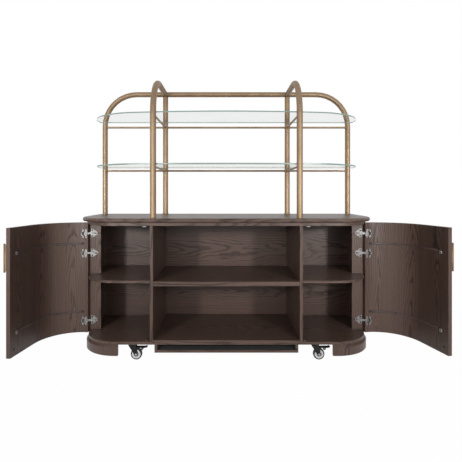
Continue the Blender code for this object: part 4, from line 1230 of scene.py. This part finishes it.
class CABINET_OT_stage(bpy.types.Operator):
    """Floor, lamps, world and camera"""

    bl_idname = "cabinet.stage"
    bl_label = "Stage"

    def execute(self, context):
        stage = context.scene.cabinet_stage
        self.set_world(stage)
        self.lay_floor()
        self.hang_lamps(stage)
        self.set_camera(stage)
        context.scene.view_settings.view_transform = "Standard"
        return {"FINISHED"}

    def seen_directly(self, tree):
        """One for rays from the camera and for those off metal and through glass."""
        path = add_node(tree, "LightPath").outputs
        straight = calc(tree, "MAXIMUM", path["Is Camera Ray"], path["Is Glossy Ray"])
        return calc(tree, "MAXIMUM", straight, path["Is Transmission Ray"])

    def set_world(self, stage):
        """White where it is seen, and a weaker even fill where it lights."""
        world = bpy.data.worlds.new("studio")
        bpy.context.scene.world = world
        world.use_nodes = True
        tree = world.node_tree
        ground = tree.nodes["Background"]
        ground.inputs["Color"].default_value = WHITE
        strength = times_plus(tree, self.seen_directly(tree), 1.0 - stage.fill, stage.fill)
        tree.links.new(strength, ground.inputs["Strength"])

    def lay_floor(self):
        """A wide white floor that keeps a faint shadow."""
        half = 14.0
        shown_near = 0.985
        near = 1.3
        far = 3.4
        deselect()
        bpy.ops.mesh.primitive_plane_add(size=2 * half, location=(0.0, 0.0, 0.0))
        floor = settle()
        floor.name = "studio_floor"
        tree, shader = new_material(
            "studio_white", base_color=(0.86, 0.86, 0.86, 1.0), roughness=0.9, specular_ior_level=0.0)
        glow = add_node(tree, "Emission", {"Color": WHITE, "Strength": 1.0})
        distance = add_node(tree, "VectorMath", {0: object_coords(tree)}, operation="LENGTH").outputs["Value"]
        shown = ease(tree, distance, near, far, shown_near, 1.0)
        share = calc(tree, "MULTIPLY", self.seen_directly(tree), shown)
        mixed = add_node(tree, "MixShader", {0: share, 1: shader.outputs[0], 2: glow.outputs[0]})
        tree.links.new(mixed.outputs[0], tree.nodes["Material Output"].inputs["Surface"])
        paint(floor, "studio_white")

    def hang_lamps(self, stage):
        """One small lamp on each side of the camera and a wide soft one behind it."""
        side_y = -2.415
        side_height = 1.1
        side_reach = 1.45
        aim_reach = 0.66
        aim_height = 0.64
        front_place = Vector((MIDDLE_X, -3.6, 1.2))
        for side in SIDES:
            place = Vector((side_x(side, side_reach), side_y, side_height))
            aim = Vector((side_x(side, aim_reach), 0.0, aim_height))
            self.hang(
                side + "_lamp", place, aim - place, shape="SQUARE", size=0.24,
                energy=stage.lamp_power, spread=stage.lamp_spread)
        self.hang(
            "front_lamp", front_place, BACKWARDS, shape="RECTANGLE", size=3.0, size_y=1.6,
            energy=stage.front_power)

    def hang(self, name, place, direction, **choices):
        """An area lamp at a place, shining along a direction."""
        lamp = bpy.data.lights.new(name, "AREA")
        for choice, value in choices.items():
            setattr(lamp, choice, value)
        item = bpy.data.objects.new(name, lamp)
        item.location = place
        item.rotation_euler = direction.to_track_quat("-Z", "Y").to_euler()
        bpy.context.scene.collection.objects.link(item)

    def set_camera(self, stage):
        """A level camera in front of the middle, framed with the lens shift."""
        data = bpy.data.cameras.new("photo_camera")
        data.sensor_width = 36.0
        data.lens = stage.lens
        data.shift_x = 0.00996
        data.shift_y = -0.08009
        data.dof.use_dof = False
        camera = bpy.data.objects.new("photo_camera", data)
        camera.location = (MIDDLE_X, CORE_FRONT_Y - stage.camera_distance, stage.camera_height)
        camera.rotation_euler = (math.pi / 2, 0.0, 0.0)
        bpy.context.scene.collection.objects.link(camera)
        bpy.context.scene.camera = camera


class CABINET_PT_panel(bpy.types.Panel):
    """Lists what makes the cabinet's looks"""

    bl_idname = "CABINET_PT_panel"
    bl_label = "Bar cabinet"
    bl_space_type = "VIEW_3D"
    bl_region_type = "UI"
    bl_category = "Cabinet"

    def draw(self, context):
        for operator in OPERATORS:
            self.layout.operator(operator.bl_idname)
        for name in SETTINGS:
            settings = getattr(context.scene, name)
            for prop in settings.bl_rna.properties.keys():
                if prop not in ("rna_type", "name"):
                    self.layout.prop(settings, prop)


OPERATORS = (
    CABINET_OT_finishes,
    CABINET_OT_glass,
    CABINET_OT_wheels,
    CABINET_OT_casters,
    CABINET_OT_hinges,
    CABINET_OT_straighteners,
    CABINET_OT_catches,
    CABINET_OT_welds,
    CABINET_OT_back,
    CABINET_OT_lining,
    CABINET_OT_stage,
)
SETTINGS = {
    "cabinet_oak": OakSettings,
    "cabinet_metal": MetalSettings,
    "cabinet_fittings": FittingSettings,
    "cabinet_stage": StageSettings,
}


def register():
    """Register the settings, operators and panel."""
    for name, settings in SETTINGS.items():
        bpy.utils.register_class(settings)
        setattr(bpy.types.Scene, name, PointerProperty(type=settings))
    for operator in OPERATORS:
        bpy.utils.register_class(operator)
    bpy.utils.register_class(CABINET_PT_panel)


def unregister():
    """Take back what register set up."""
    bpy.utils.unregister_class(CABINET_PT_panel)
    for operator in reversed(OPERATORS):
        bpy.utils.unregister_class(operator)
    for name, settings in SETTINGS.items():
        delattr(bpy.types.Scene, name)
        bpy.utils.unregister_class(settings)


def main():
    """Register the classes and run the operators in order."""
    register()
    for operator in OPERATORS:
        group, action = operator.bl_idname.split(".")
        getattr(getattr(bpy.ops, group), action)()


if __name__ == "__main__":
    main()
